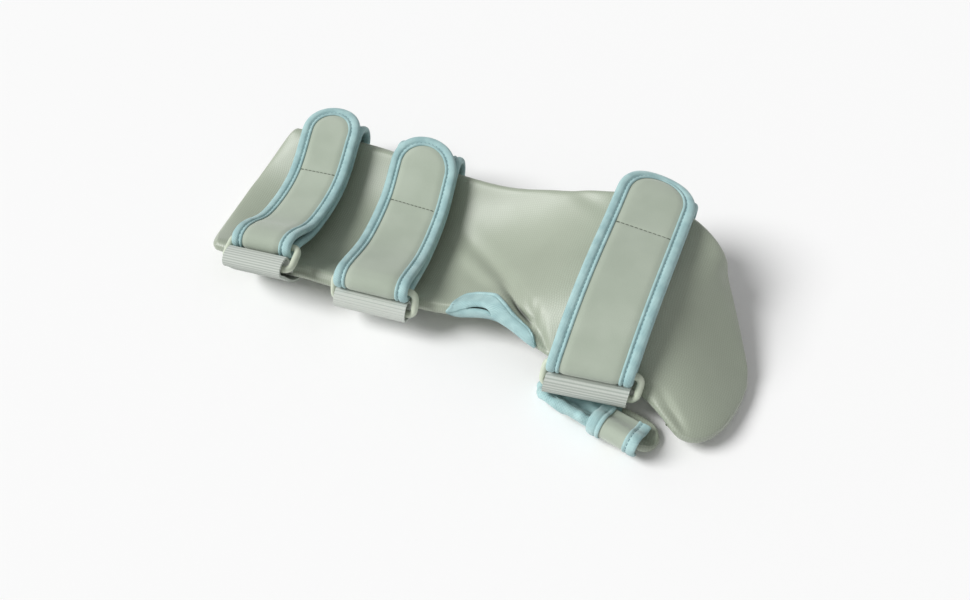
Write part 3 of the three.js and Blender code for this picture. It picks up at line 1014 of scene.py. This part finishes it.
@dataclass
class FoldBackStrap:
    """A padded strap from its sewn end, round its ring and back on itself, with its binding and stitches."""

    name: str
    finishes: Finishes
    patch: float = 47 * MM
    thick: float = 3.9 * MM
    edge_share: float = 0.46
    pressed: float = 5.4 * MM
    slope: float = 4.5 * MM
    row: float = 0.6 * MM
    columns: int = 26
    groove: float = 0.9 * MM
    groove_width: float = 0.8 * MM
    stitch_length: float = 2.5 * MM
    stitch_thick: float = 0.75 * MM
    stitch_sink: float = 0.5 * MM
    tail_turn: float = math.radians(80)
    tail_points: int = 40
    patch_points: int = 12
    binding: Binding = field(default_factory=Binding)

    def __post_init__(self) -> None:
        """Read the strap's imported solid."""
        self.band = BandSurface(f"{self.name}_strap", Vector((0.0, 1.0, 0.2)))

    def build(self) -> None:
        """Make the strap, its binding and its stitches."""
        self._body()
        path = self._edge_path()
        tape = self.binding.build(f"{self.name}_binding_tape", self.band, path)
        dress(tape, self.finishes.tape, [f"{self.name}_strap_binding"])
        stitches = StitchRow(f"{self.name}_binding_stitches")
        seams = stitches.build([self.binding.seam(self.band, path, face) for face in Face])
        dress(seams, self.finishes.blue_thread_and_groove_shade)
        patch = StitchRow(f"{self.name}_patch_stitches", length=self.stitch_length, thick=self.stitch_thick)
        row = patch.build([self._patch_line()])
        dress(row, self.finishes.sage_thread_and_groove_shade)

    def _half(self, along: np.ndarray) -> np.ndarray:
        """Half of the strap's width, which shrinks round the tail."""
        into = np.clip(along - (self.band.length - self.band.half), 0.0, None)
        return np.sqrt(np.maximum(self.band.half**2 - into**2, 0.0))

    def _body(self) -> None:
        """The strap's own layer, thickest along its middle and pulled in at the patch's stitches."""
        half = self.band.half
        end = self.band.length - half * (1 - math.sin(self.tail_turn))

        def place(u: np.ndarray, v: np.ndarray) -> np.ndarray:
            """The place of a share along and across the strap."""
            along = u * end
            sideways = (2 * v - 1) * self._half(along)
            inside = np.clip((half - np.abs(sideways) - self.binding.cover) / self.slope, 0.0, 1.0)
            dip = inside * np.exp(-(((along - self.band.length + self.patch) / self.groove_width) ** 2))
            return self.band.spots(along, sideways, self.groove * dip)

        rows = round(end / self.row)
        body = laid_grid(f"{self.name}_strap_cloth", rows, self.columns, place, (end, 2 * half))
        thickness = body.vertex_groups.new(name="thickness")
        flat = np.empty(len(body.data.loops) * 2, np.float32)
        body.data.uv_layers.active.data.foreach_get("uv", flat)
        along, across = flat.reshape(-1, 2).T
        sideways = (across / half - 1) * self._half(along)
        inward = half - np.hypot(np.clip(along - self.band.length + half, 0.0, None), sideways)
        rise = np.clip((inward - self.pressed) / self.slope, 0.0, 1.0)
        for loop, share in zip(body.data.loops, rise**2 * (3 - 2 * rise)):
            thickness.add([loop.vertex_index], float(share), "REPLACE")
        apply_modifier(
            body,
            "SOLIDIFY",
            thickness=self.thick,
            offset=0.0,
            vertex_group="thickness",
            thickness_vertex_group=self.edge_share,
        )
        dress(body, self.finishes.strap, [f"{self.name}_strap"])

    def _edge_path(self) -> np.ndarray:
        """The strap's outline: up one edge, round the tail and back down the other.

        Returns:
            Rows of distance along the strap, distance from its middle line and turn of the edge.
        """
        half, straight = self.band.half, self.band.length - self.band.half
        edge = np.arange(0.0, straight, self.binding.step)
        arc = np.linspace(0.0, math.pi, self.tail_points)
        return np.concatenate(
            [
                np.stack([edge, np.full_like(edge, half), np.zeros_like(edge)], 1),
                np.stack([straight + half * np.sin(arc), half * np.cos(arc), arc], 1),
                np.stack([edge[::-1], np.full_like(edge, -half), np.full_like(edge, math.pi)], 1),
            ]
        )

    def _patch_line(self) -> tuple[np.ndarray, np.ndarray]:
        """The row of stitches across the folded-back layer, whose outer face is the band's lower one.

        Returns:
            The points and the normals as rows.
        """
        reach = self.band.half - self.binding.cover
        sideways = np.linspace(-reach, reach, self.patch_points)
        along = np.full_like(sideways, self.band.length - self.patch)
        low = self.band.spots(along, sideways, np.full_like(sideways, self.stitch_sink - self.thick / 2))
        high = self.band.spots(along, sideways, np.full_like(sideways, -self.thick))
        return low, unit(high - low)


@dataclass
class ThumbStrap:
    """The short bound strap that arches over the thumb trough."""

    finishes: Finishes
    thick: float = 1.3 * MM
    row: float = 1.2 * MM
    columns: int = 16
    binding: Binding = field(default_factory=lambda: Binding(fullness=0.55))

    def build(self) -> None:
        """Make the strap, its two bindings and their stitches."""
        band = BandSurface("thumb_strap", Vector((0.0, -0.6, 1.0)))
        rows = round(band.length / self.row)
        body = band.sheet("thumb_strap_cloth", rows, self.columns, np.zeros_like)
        apply_modifier(body, "SOLIDIFY", thickness=self.thick, offset=0.0)
        apply_modifier(body, "SUBSURF", levels=1, render_levels=1)
        dress(body, self.finishes.strap, ["thumb_strap"])
        edge = np.arange(0.0, band.length, self.binding.step)
        for side, sign, turn in (("palm", -1, math.pi), ("tip", 1, 0.0)):
            path = np.stack([edge, np.full_like(edge, sign * band.half), np.full_like(edge, turn)], 1)
            tape = self.binding.build(f"thumb_strap_{side}_tape", band, path)
            dress(tape, self.finishes.tape, [f"thumb_strap_{side}_binding"])
            row = StitchRow(f"thumb_strap_{side}_stitches").build([self.binding.seam(band, path, Face.UPPER)])
            dress(row, self.finishes.blue_thread_and_groove_shade)


@dataclass
class RingAndWebbing:
    """A moulded ring with the ribbed webbing that is looped round its outer bar."""

    name: str
    finishes: Finishes
    draw_in: float = 2.6 * MM
    round_out: float = 0.36 * MM
    loop_sections: int = 6
    bulge: float = 2.7 * MM
    bulge_power: float = 1.5
    rib: float = 1.35 * MM
    rib_height: float = 0.22 * MM
    wall: float = 1.3 * MM
    rows_per_rib: int = 6
    columns: int = 14

    def build(self) -> None:
        """Make the ring and its webbing."""
        ring = solid_copy(f"{self.name}_ring", f"{self.name}_moulded_ring")
        places = places_of(ring)
        middle = places.mean(0)
        reach = places[:, 0] - middle[0]
        places[:, 0] -= self.draw_in * np.minimum(reach, 0.0) / -reach.min()
        move_to(ring, places)
        bpy.ops.object.mode_set(mode="EDIT")
        bpy.ops.mesh.select_all(action="SELECT")
        bpy.ops.transform.shrink_fatten(value=self.round_out)
        bpy.ops.object.mode_set(mode="OBJECT")
        apply_modifier(ring, "SUBSURF", levels=2, render_levels=2)
        dress(ring, self.finishes.plastic, [f"{self.name}_ring"])
        self._webbing(middle)

    def _webbing(self, ring_middle: np.ndarray) -> None:
        """The webbing, with its ribs as real waves along it and its loop full up to the strap.

        Args:
            ring_middle: The middle of the ring that it holds.
        """
        band = BandSurface(f"{self.name}_webbing", Vector((0.0, -1.0, 0.5)))
        loop = band.middle[band.middle[:, 2].argsort()[-self.loop_sections :]].mean(0)
        outside = np.sign((band.normal * (band.middle - loop)).sum(1)[len(band.knots) // 2])
        towards = outside * (band.normal @ unit(ring_middle - loop))
        full = outside * self.bulge * np.clip(towards, 0.0, 1.0) ** self.bulge_power

        def height(along: np.ndarray) -> np.ndarray:
            """The ribs and the fullness of the loop at distances along the webbing."""
            wave = np.abs(np.sin(np.pi * along / self.rib)) - 0.5
            return self.rib_height * wave + np.interp(along, band.knots, full)

        rows = round(band.length / self.rib * self.rows_per_rib)
        piece = band.sheet(f"{self.name}_ribbed_webbing", rows, self.columns, height)
        apply_modifier(piece, "SOLIDIFY", thickness=self.wall, offset=0.0)
        dress(piece, self.finishes.webbing, [f"{self.name}_webbing"])


@dataclass(frozen=True)
class Crease:
    """A fold of the cover: rows of x, y and depth, its width, and the depth at which its painted shade is
    full.
    """

    rows: tuple[tuple[float, float, float], ...]
    width: float
    full_shade_depth: float = 0.0
    samples: int = 80

    def depth(self, plan: np.ndarray) -> np.ndarray:
        """How deep the fold is at places in plan.

        Args:
            plan: The places as rows of x and y.

        Returns:
            The depths.
        """
        rows = np.array(self.rows) * MM
        knots = run_of(rows[:, :2])
        line = through(knots, rows, np.linspace(0.0, knots[-1], self.samples))
        nearest = np.full(len(plan), np.inf)
        depth = np.zeros(len(plan))
        for x, y, deep in line:
            gap = (plan[:, 0] - x) ** 2 + (plan[:, 1] - y) ** 2
            closer = gap < nearest
            nearest = np.where(closer, gap, nearest)
            depth = np.where(closer, deep, depth)
        return depth * np.exp(-nearest / (self.width * MM) ** 2)


def press(pad: bpy.types.Object, creases: tuple[Crease, ...]) -> None:
    """Press folds into the upper face of a pad and mark how much painted shade each one has inside.

    Args:
        pad: The padded object.
        creases: The folds.
    """
    places, normals = places_of(pad), normals_of(pad)
    upper = np.clip(normals[:, 2] * 2, 0.0, 1.0)
    depths = [crease.depth(places[:, :2]) * upper for crease in creases]
    mark = pad.data.attributes.get(FOLD) or pad.data.attributes.new(FOLD, "FLOAT", "POINT")
    shade = np.empty(len(places), np.float32)
    mark.data.foreach_get("value", shade)
    for crease, depth in zip(creases, depths):
        # painted shade: each fold marks how dark its inside is painted
        shade = np.maximum(shade, depth / crease.full_shade_depth) if crease.full_shade_depth else shade
    mark.data.foreach_set("value", shade.astype(np.float32))
    move_to(pad, places - normals * sum(depths)[:, None])


@dataclass
class PaddedCover:
    """The main pad: foam in a knit cover, swelled by a cloth simulation and then creased."""

    finishes: Finishes
    node: str = "splint_pad"
    inset: float = 0.5 * MM
    swell: float = 1.1 * MM
    pressure: float = 4.0
    frames: int = 20
    evening: int = 8
    floor: float = 0.0
    sample: float = 5.0 * MM
    end_middle: tuple[float, float] = (212 * MM, -36 * MM)
    end_reach: float = 40 * MM
    # Rows of direction from the end's middle in degrees and how far its edge is drawn out in millimetres
    end_edge: tuple[tuple[float, float], ...] = (
        (-75, 0.0),
        (-55, 1.2),
        (-15, -0.6),
        (4, -1.8),
        (22, -0.2),
        (50, 1.0),
        (68, 0.8),
        (82, -1.2),
        (100, 0.0),
    )
    # Rows of x, y and depth in millimetres; a ridge has a depth below zero
    creases: tuple[Crease, ...] = (
        Crease(
            ((55, 20, 0.0), (66, 10, 1.2), (84, -4, 2.2), (101, -22, 3.2), (114, -38, 3.6), (125, -51, 1.6)),
            5.0,
        ),
        Crease(
            (
                (98, -22, 0.0),
                (107, -33, 1.8),
                (114, -41, 3.2),
                (120, -46.5, 3.4),
                (125.5, -51, 2.2),
                (129, -55, 0.0),
            ),
            1.6,
            # the depth at which this fold's painted shade is full
            3.4 * MM,
        ),
        Crease(((64, 4, 0.0), (78, -10, -1.2), (94, -27, -1.8), (110, -42, -1.6), (118, -48, 0.0)), 6.0),
        Crease(((66, -6, 0.0), (82, -20, 1.4), (96, -31, 1.6), (104, -38, 0.0)), 5.0),
        Crease(((118, -34, 0.0), (121.5, -41, 0.8), (126, -48, 1.2), (131, -55, 0.6)), 2.0),
        Crease(((125, -36, 0.0), (127.5, -46, 1.2), (132, -55, 1.8), (138, -62, 1.4)), 2.2),
        Crease(((132, -44, 0.0), (133, -50, 0.8), (136, -57, 1.5), (140, -62, 1.2)), 2.0),
        Crease(((202, -63, 0.0), (209, -68.5, 1.8), (217, -74, 1.5), (225, -81, 0.0)), 2.6),
        Crease(((201, -68, 0.0), (208, -73, -1.2), (216, -78.5, -1.2), (224, -86, 0.0)), 3.0),
        Crease(((118, 44, 0.6), (128, 38, 1.0), (142, 31, 0.6), (150, 26, 0.0)), 5.0),
        Crease(((-80, -34, 0.0), (-50, -31, 0.7), (0, -32, 0.9), (52, -33, 0.6), (66, -34, 0.0)), 7.0),
    )

    def build(self) -> bpy.types.Object:
        """Make the pad.

        Returns:
            The finished pad.
        """
        pad = solid_copy(self.node, "padded_cover")
        select_only(pad)
        bpy.ops.object.mode_set(mode="EDIT")
        bpy.ops.mesh.select_all(action="SELECT")
        bpy.ops.transform.shrink_fatten(value=-self.inset)
        bpy.ops.object.mode_set(mode="OBJECT")
        smooth_through(pad, 2)
        self._swell(pad)
        apply_modifier(pad, "SUBSURF", levels=1, render_levels=1)
        self._ease_end(pad)
        self._lay_flat(pad)
        press(pad, self.creases)
        places = places_of(pad)
        places[:, 2] = np.maximum(places[:, 2], self.floor)
        move_to(pad, places)
        dress(pad, self.finishes.knit, [self.node])
        return pad

    def _swell(self, pad: bpy.types.Object) -> None:
        """Press the cover out with cloth, no further than its foam lets it.

        Args:
            pad: The pad.
        """
        rest = places_of(pad)
        select_only(pad)
        bpy.ops.object.modifier_add(type="CLOTH")
        cloth = pad.modifiers[-1]
        cloth.settings.quality = 4
        cloth.settings.use_pressure = True
        cloth.settings.uniform_pressure_force = self.pressure
        cloth.settings.effector_weights.gravity = 0.0
        cloth.point_cache.frame_start = 1
        cloth.point_cache.frame_end = self.frames
        for step in range(1, self.frames + 1):
            bpy.context.scene.frame_set(step)
        bpy.ops.object.modifier_apply(modifier=cloth.name)
        bpy.context.scene.frame_set(1)
        moved = places_of(pad) - rest
        reach = np.linalg.norm(moved, axis=1, keepdims=True)
        moved *= np.minimum(1.0, self.swell / np.maximum(reach, 1e-9))
        move_to(pad, rest + self._evened(pad, moved))

    def _evened(self, pad: bpy.types.Object, moved: np.ndarray) -> np.ndarray:
        """Moves of the pad's vertices, evened out with those of their neighbours.

        Args:
            pad: The pad.
            moved: The move of each vertex.

        Returns:
            The evened moves.
        """
        ends = np.empty(len(pad.data.edges) * 2, np.int32)
        pad.data.edges.foreach_get("vertices", ends)
        first, second = ends.reshape(-1, 2).T
        count = np.bincount(ends, minlength=len(moved))[:, None]
        for _ in range(self.evening):
            total = np.zeros_like(moved)
            np.add.at(total, first, moved[second])
            np.add.at(total, second, moved[first])
            moved = (moved + total / count) / 2
        return moved

    def _ease_end(self, pad: bpy.types.Object) -> None:
        """Draw the outline of the fingertip end into one easy curve.

        Args:
            pad: The pad.
        """
        places = places_of(pad)
        spoke = places[:, :2] - np.array(self.end_middle)
        reach = np.linalg.norm(spoke, axis=1)
        direction, out = np.array(self.end_edge).T
        turn = np.clip(np.degrees(np.arctan2(spoke[:, 1], spoke[:, 0])), direction[0], direction[-1])
        shift = through(direction, out[:, None] * MM, turn)
        share = np.clip(reach / self.end_reach, 0.0, 1.0) ** 3
        places[:, :2] += unit(spoke) * shift * share[:, None]
        move_to(pad, places)

    def _lay_flat(self, pad: bpy.types.Object) -> None:
        """Give the cover a flat pattern whose two directions keep their length over the curved face.

        Args:
            pad: The pad.
        """
        places = places_of(pad)
        low, high = places.min(0), places.max(0)
        xs = np.arange(low[0], high[0] + self.sample, self.sample)
        ys = np.arange(low[1], high[1] + self.sample, self.sample)
        tree = BVHTree.FromObject(pad, bpy.context.evaluated_depsgraph_get())
        heights = np.full((len(xs), len(ys)), np.nan)
        for i, x in enumerate(xs):
            for j, y in enumerate(ys):
                hit = tree.ray_cast(Vector((x, y, high[2] + self.sample)), Vector((0, 0, -1)))[0]
                if hit is not None:
                    heights[i, j] = hit.z
        along = self._run(heights, self.sample)
        across = self._run(heights.T, self.sample).T
        flat = np.stack([self._read(grid, xs, ys, places) for grid in (along, across)], 1)
        set_flat(pad, flat)

    @staticmethod
    def _run(heights: np.ndarray, step: float) -> np.ndarray:
        """Distances over the surface along the first axis of a grid of heights.

        Args:
            heights: The heights at the grid's nodes.
            step: The distance between nodes in plan.

        Returns:
            The distance at each node.
        """
        rise = np.nan_to_num(np.diff(heights, axis=0), nan=0.0)
        lengths = np.sqrt(step**2 + np.clip(rise, -2 * step, 2 * step) ** 2)
        return np.concatenate([np.zeros((1, heights.shape[1])), np.cumsum(lengths, axis=0)])

    @staticmethod
    def _read(grid: np.ndarray, xs: np.ndarray, ys: np.ndarray, places: np.ndarray) -> np.ndarray:
        """Values of a grid at places in plan, blended between its nodes.

        Args:
            grid: The values at the nodes.
            xs: The nodes' places along the first axis.
            ys: Their places along the second axis.
            places: The places to read, as rows.

        Returns:
            The values.
        """
        a = np.clip((places[:, 0] - xs[0]) / (xs[1] - xs[0]), 0, len(xs) - 1.001)
        b = np.clip((places[:, 1] - ys[0]) / (ys[1] - ys[0]), 0, len(ys) - 1.001)
        i, j = a.astype(int), b.astype(int)
        s, t = a - i, b - j
        near = grid[i, j] * (1 - t) + grid[i, j + 1] * t
        far = grid[i + 1, j] * (1 - t) + grid[i + 1, j + 1] * t
        return near * (1 - s) + far * s


@dataclass
class WrappedTape:
    """Tape wrapped round the rounded edge of a padded piece and lying on its surface."""

    padding: bpy.types.Object
    # Rows of a point inside the edge and a point that the tape's middle turns towards, in millimetres
    core: tuple[tuple[tuple[float, float, float], tuple[float, float, float]], ...]
    reach: float = 16 * MM
    flat_width: float = 16 * MM
    wall: float = 0.6 * MM
    crumple: float = 0.0
    fold: float = 5 * MM

    def __post_init__(self) -> None:
        """Prepare the padded surface and the line inside its edge."""
        self.tree = BVHTree.FromObject(self.padding, bpy.context.evaluated_depsgraph_get())
        rows = np.array(self.core) * MM
        self.line, self.ahead = rows[:, 0], unit(rows[:, 1] - rows[:, 0])
        self.knots = run_of(self.line)
        self.length = float(self.knots[-1])

    def spots(self, share: np.ndarray, turn: np.ndarray, off: np.ndarray) -> tuple[np.ndarray, np.ndarray]:
        """Places on or off the padded surface.

        Args:
            share: Shares of the line's length.
            turn: Angles round the line, in radians.
            off: Heights off the surface.

        Returns:
            The places and the surface's normals there.
        """
        along = share * self.length
        middle = through(self.knots, self.line, along)
        way = unit(through(self.knots, self.line, along + MM) - through(self.knots, self.line, along - MM))
        ahead = through(self.knots, self.ahead, along)
        ahead = unit(ahead - way * (ahead * way).sum(1, keepdims=True))
        spoke = ahead * np.cos(turn)[:, None] + np.cross(way, ahead) * np.sin(turn)[:, None]
        places, normals = np.empty_like(middle), np.empty_like(middle)
        for k, (inside, out) in enumerate(zip(middle, spoke)):
            hit, normal = self.tree.ray_cast(Vector(inside + out * self.reach), Vector(-out))[:2]
            places[k] = inside if hit is None else hit
            normals[k] = out if normal is None else normal
        wrinkle = [noise.noise(Vector(place / self.fold)) for place in places]
        return places + normals * (off + self.crumple * np.array(wrinkle))[:, None], normals

    def build(self, name: str, shape: tuple[int, int], turns: Edges, height: Place) -> bpy.types.Object:
        """Lay the tape.

        Args:
            name: The new object's name.
            shape: How many faces it has along and across.
            turns: Gives the angles of both edges, in radians, for shares of the length.
            height: Gives the heights off the surface for shares along and across.

        Returns:
            The tape.
        """

        def place(u: np.ndarray, v: np.ndarray) -> np.ndarray:
            """The place of a share along and across."""
            first, last = turns(u)
            return self.spots(u, first + (last - first) * v, height(u, v))[0]

        piece = laid_grid(name, *shape, place, (self.length, self.flat_width))
        apply_modifier(piece, "SOLIDIFY", thickness=self.wall, offset=-1.0)
        return piece


@dataclass
class CoverMouth:
    """The two bound lips of the cover's mouth, which part only in a short slit."""

    finishes: Finishes
    pad: bpy.types.Object
    # Rows along the thumb-side rim: x, y and z inside it, then turns of the upper edge, seam and lower edge
    rows: tuple[tuple[float, ...], ...] = (
        (77, -45.2, 17.6, 50, 53, 56),
        (81, -44.8, 19.0, 18, 50, 85),
        (84, -44.5, 20.0, -38, 46, 100),
        (90, -44.0, 22.5, -64, 39, 112),
        (96, -43.5, 24.5, -59, 40, 115),
        (102, -43.5, 26.0, -40, 49, 115),
        (108, -44.5, 27.0, -14, 78, 115),
        (114, -46.5, 27.5, 4, 92, 112),
        (120, -49.0, 27.5, 14, 95, 108),
        (126, -52.0, 27.0, 17, 88, 100),
        (131, -54.6, 26.2, 32, 78, 90),
        (135, -56.8, 25.4, 66, 70, 74),
    )
    # the slit's groove, with painted shade inside it
    slit: Crease = Crease(
        ((87, -49.5, 0.0), (91, -48.8, 5.0), (97, -48.6, 6.0), (103, -50, 5.0), (107, -51.6, 0.0)),
        2.4,
        3.5 * MM,
    )
    slit_middle: float = 97.5
    slit_half: float = 8.0
    slit_turn: float = math.radians(6)
    piping: float = 1.7 * MM
    groove_at: float = 2.0 * MM
    groove_width: float = 0.55 * MM
    groove_share: float = 0.55
    roll_from: float = 0.86
    roll_share: float = 1.6
    rise: float = 1.2 * MM
    width: float = 12 * MM
    seam_share: float = 0.17
    seam_ends: tuple[float, float] = (0.03, 0.97)
    seam_points: int = 60
    stitch_thick: float = 0.4 * MM
    shape: tuple[int, int] = (90, 26)

    def build(self) -> None:
        """Make both lips and the stitches inside the upper one's piping."""
        table = np.array(self.rows)
        core = tuple(((x, y, z), (x, y, z + 1)) for x, y, z in table[:, :3].tolist())
        tape = WrappedTape(self.pad, core)
        share = tape.knots / tape.length
        upper, seam, lower = np.radians(table[:, 3:]).T

        def read(values: np.ndarray, u: np.ndarray) -> np.ndarray:
            """Values of the table at shares of the length."""
            return through(share, values[:, None], u)[:, 0]

        def gap(u: np.ndarray) -> np.ndarray:
            """Half of the slit's opening as an angle."""
            off = (np.interp(u, share, table[:, 0]) - self.slit_middle) / self.slit_half
            return self.slit_turn * np.sqrt(np.clip(1 - off**2, 0.0, 1.0))

        def height(u: np.ndarray, v: np.ndarray) -> np.ndarray:
            """A piping at the outer edge, a stitched groove inside it and a roll into the slit."""
            inward = v * self.width
            edge = np.sqrt(np.clip(1 - (1 - np.clip(inward / self.piping, 0, 1)) ** 2, 0, 1))
            groove = self.groove_share * np.exp(-(((inward - self.groove_at) / self.groove_width) ** 2))
            roll = np.clip((v - self.roll_from) / (1 - self.roll_from), 0, 1) ** 2
            return self.rise * (edge - groove - self.roll_share * roll * gap(u) / self.slit_turn)

        edges = {
            "upper": lambda u: (read(upper, u), read(seam, u) - gap(u)),
            "lower": lambda u: (read(lower, u), read(seam, u) + gap(u)),
        }
        for lip, turns in edges.items():
            piece = tape.build(f"bound_{lip}_lip", self.shape, turns, height)
            dress(piece, self.finishes.tape, [f"cover_mouth_{lip}_lip"])
        at = np.linspace(*self.seam_ends, self.seam_points)
        turn = read(upper, at) + self.seam_share * (read(seam, at) - read(upper, at))
        stitches = StitchRow("mouth_stitches", thick=self.stitch_thick)
        row = stitches.build([tape.spots(at, turn, np.full_like(at, 0.5 * self.rise))])
        dress(row, self.finishes.blue_thread_and_groove_shade)
        press(self.pad, (self.slit,))


@dataclass
class ThumbTrough:
    """The small padded gutter for the thumb, with crumpled tape round its palm end and thumb-side edge."""

    finishes: Finishes
    # Rows of a point inside the edge and a point on it
    rows: tuple[tuple[tuple[float, float, float], tuple[float, float, float]], ...] = (
        ((146, -67, 4.0), (140, -66.5, 5.5)),
        ((146, -70, 4.2), (140, -71, 6)),
        ((147, -73, 5), (141.5, -77, 9)),
        ((150, -75.5, 5.5), (146, -82, 12)),
        ((156, -78, 6), (154, -85, 14)),
        ((164, -80.5, 6), (163.5, -87.5, 14.5)),
        ((173, -82.8, 6), (172.5, -90, 14.5)),
        ((182, -84.8, 6), (181.5, -92, 14.2)),
        ((190, -86.2, 6), (189.5, -93.2, 13.8)),
    )
    outside: float = math.radians(75)
    inside: float = math.radians(-95)
    piping: float = 0.1
    rise: float = 0.9 * MM
    lift: float = 0.2 * MM
    crumple: float = 1.5 * MM
    wrinkle: float = 6 * MM
    above: float = 60 * MM
    # Rows of x and of the floor's near and far edges
    floor: tuple[tuple[float, float, float], ...] = (
        (142, -74, -61),
        (150, -79, -60),
        (165, -83.5, -64),
        (188, -89, -71),
    )
    floor_size: tuple[float, float] = (45 * MM, 20 * MM)
    shape: tuple[int, int] = (90, 40)

    def build(self) -> None:
        """Make the trough and its tape."""
        trough = solid_copy("thumb_trough", "thumb_gutter")
        smooth_through(trough, 2)
        places = places_of(trough)
        set_flat(trough, np.stack([places[:, 0], places[:, 1] + places[:, 2]], 1))
        dress(trough, self.finishes.knit, ["thumb_trough"])
        tape = WrappedTape(trough, self.rows, crumple=self.crumple)

        def turns(u: np.ndarray) -> tuple[np.ndarray, np.ndarray]:
            """The angles of the tape's outer and inner edges."""
            return np.full_like(u, self.outside), np.full_like(u, self.inside)

        def height(u: np.ndarray, v: np.ndarray) -> np.ndarray:
            """A height that falls to nothing at both edges and at both ends."""
            edge = np.minimum.reduce([v, 1 - v, u * 2, (1 - u) * 2])
            return self.rise * np.sqrt(np.clip(edge / self.piping, 0.0, 1.0)) + self.lift

        piece = tape.build("thumb_gutter_tape", self.shape, turns, height)
        self._line_with_tape(tape, piece)
        dress(piece, self.finishes.tape, ["thumb_trough_binding"])

    def _line_with_tape(self, tape: WrappedTape, piece: bpy.types.Object) -> None:
        """Carry the crumpled tape on over the trough's floor and join it to the tape round the edge.

        Args:
            tape: The wrapped tape, for its padded surface.
            piece: The tape round the edge.
        """
        floor = np.array(self.floor) * MM

        def place(u: np.ndarray, v: np.ndarray) -> np.ndarray:
            """The place of a share along and across the trough's floor."""
            x = floor[0, 0] + u * (floor[-1, 0] - floor[0, 0])
            near, far = (np.interp(x, floor[:, 0], floor[:, k]) for k in (1, 2))
            spots = np.stack([x, near + v * (far - near), np.zeros_like(x)], 1)
            for k, spot in enumerate(spots):
                hit = tape.tree.ray_cast(Vector((spot[0], spot[1], self.above)), Vector((0, 0, -1)))[0]
                wrinkle = noise.noise(Vector(spot / self.wrinkle))
                spot[2] = (0.0 if hit is None else hit.z) + self.rise + self.crumple * wrinkle
            return spots

        lining = laid_grid("thumb_gutter_lining", *self.shape, place, self.floor_size)
        apply_modifier(lining, "SOLIDIFY", thickness=tape.wall, offset=-1.0)
        select_only(piece)
        lining.select_set(True)
        bpy.ops.object.join()


@dataclass
class Studio:
    """Pale floor, soft light and the camera."""

    azimuth: float = math.radians(20)
    elevation: float = math.radians(52)
    distance: float = 540 * MM
    target: Vector = field(default_factory=lambda: Vector((94 * MM, -36 * MM, 22 * MM)))
    focal_pixels: float = 920.0
    frame_width: float = 970.0
    sensor: float = 36.0
    floor_size: float = 60.0
    floor_colour: Colour = srgb(250, 250, 250)
    sky: float = 0.36
    sun_from: Vector = field(default_factory=lambda: Vector((-0.66, -0.3, 0.7)))
    sun_power: float = 2.9
    sun_angle: float = math.radians(28)

    def build(self) -> None:
        """Make everything round the splint."""
        self._camera()
        self._floor()
        self._world()
        self._sun()
        bpy.context.scene.view_settings.view_transform = "Standard"

    def _camera(self) -> None:
        """The camera at the photograph's angle."""
        level = math.cos(self.elevation)
        back = Vector(
            (math.sin(self.azimuth) * level, -math.cos(self.azimuth) * level, math.sin(self.elevation))
        )
        data = bpy.data.cameras.new("view")
        data.sensor_width = self.sensor
        data.lens = self.focal_pixels / self.frame_width * self.sensor
        data.clip_start = 0.01
        camera = bpy.data.objects.new("view", data)
        bpy.context.scene.collection.objects.link(camera)
        camera.location = self.target + back * self.distance
        camera.rotation_euler = back.to_track_quat("Z", "Y").to_euler()
        bpy.context.scene.camera = camera

    def _floor(self) -> None:
        """A plain pale floor that the splint rests on."""
        bpy.ops.object.select_all(action="DESELECT")
        bpy.ops.mesh.primitive_plane_add(size=self.floor_size)
        floor = bpy.context.object
        floor.name = "floor"
        tree = ShaderTree("pale_floor")
        floor.data.materials.append(tree.surface({"Base Color": self.floor_colour, "Roughness": 0.9}))

    def _world(self) -> None:
        """Even white light from all round."""
        world = bpy.data.worlds.new("studio")
        world.use_nodes = True
        background = world.node_tree.nodes["Background"]
        background.inputs["Color"].default_value = (1.0, 1.0, 1.0, 1.0)
        background.inputs["Strength"].default_value = self.sky
        bpy.context.scene.world = world

    def _sun(self) -> None:
        """The main light from the elbow end on the thumb side, with soft shadows."""
        data = bpy.data.lights.new("sun", "SUN")
        data.energy = self.sun_power
        data.angle = self.sun_angle
        light = bpy.data.objects.new("sun", data)
        bpy.context.scene.collection.objects.link(light)
        light.rotation_euler = self.sun_from.to_track_quat("Z", "Y").to_euler()


def main() -> None:
    """Build the studio and the splint's pieces in order."""
    logging.basicConfig(level=logging.INFO, format="%(message)s")
    Studio().build()
    finishes = Finishes()
    pad = PaddedCover(finishes).build()
    CoverMouth(finishes, pad).build()
    for name in ("forearm", "wrist", "hand"):
        FoldBackStrap(name, finishes).build()
        RingAndWebbing(name, finishes).build()
    ThumbTrough(finishes).build()
    ThumbStrap(finishes).build()


if __name__ == "__main__":
    main()
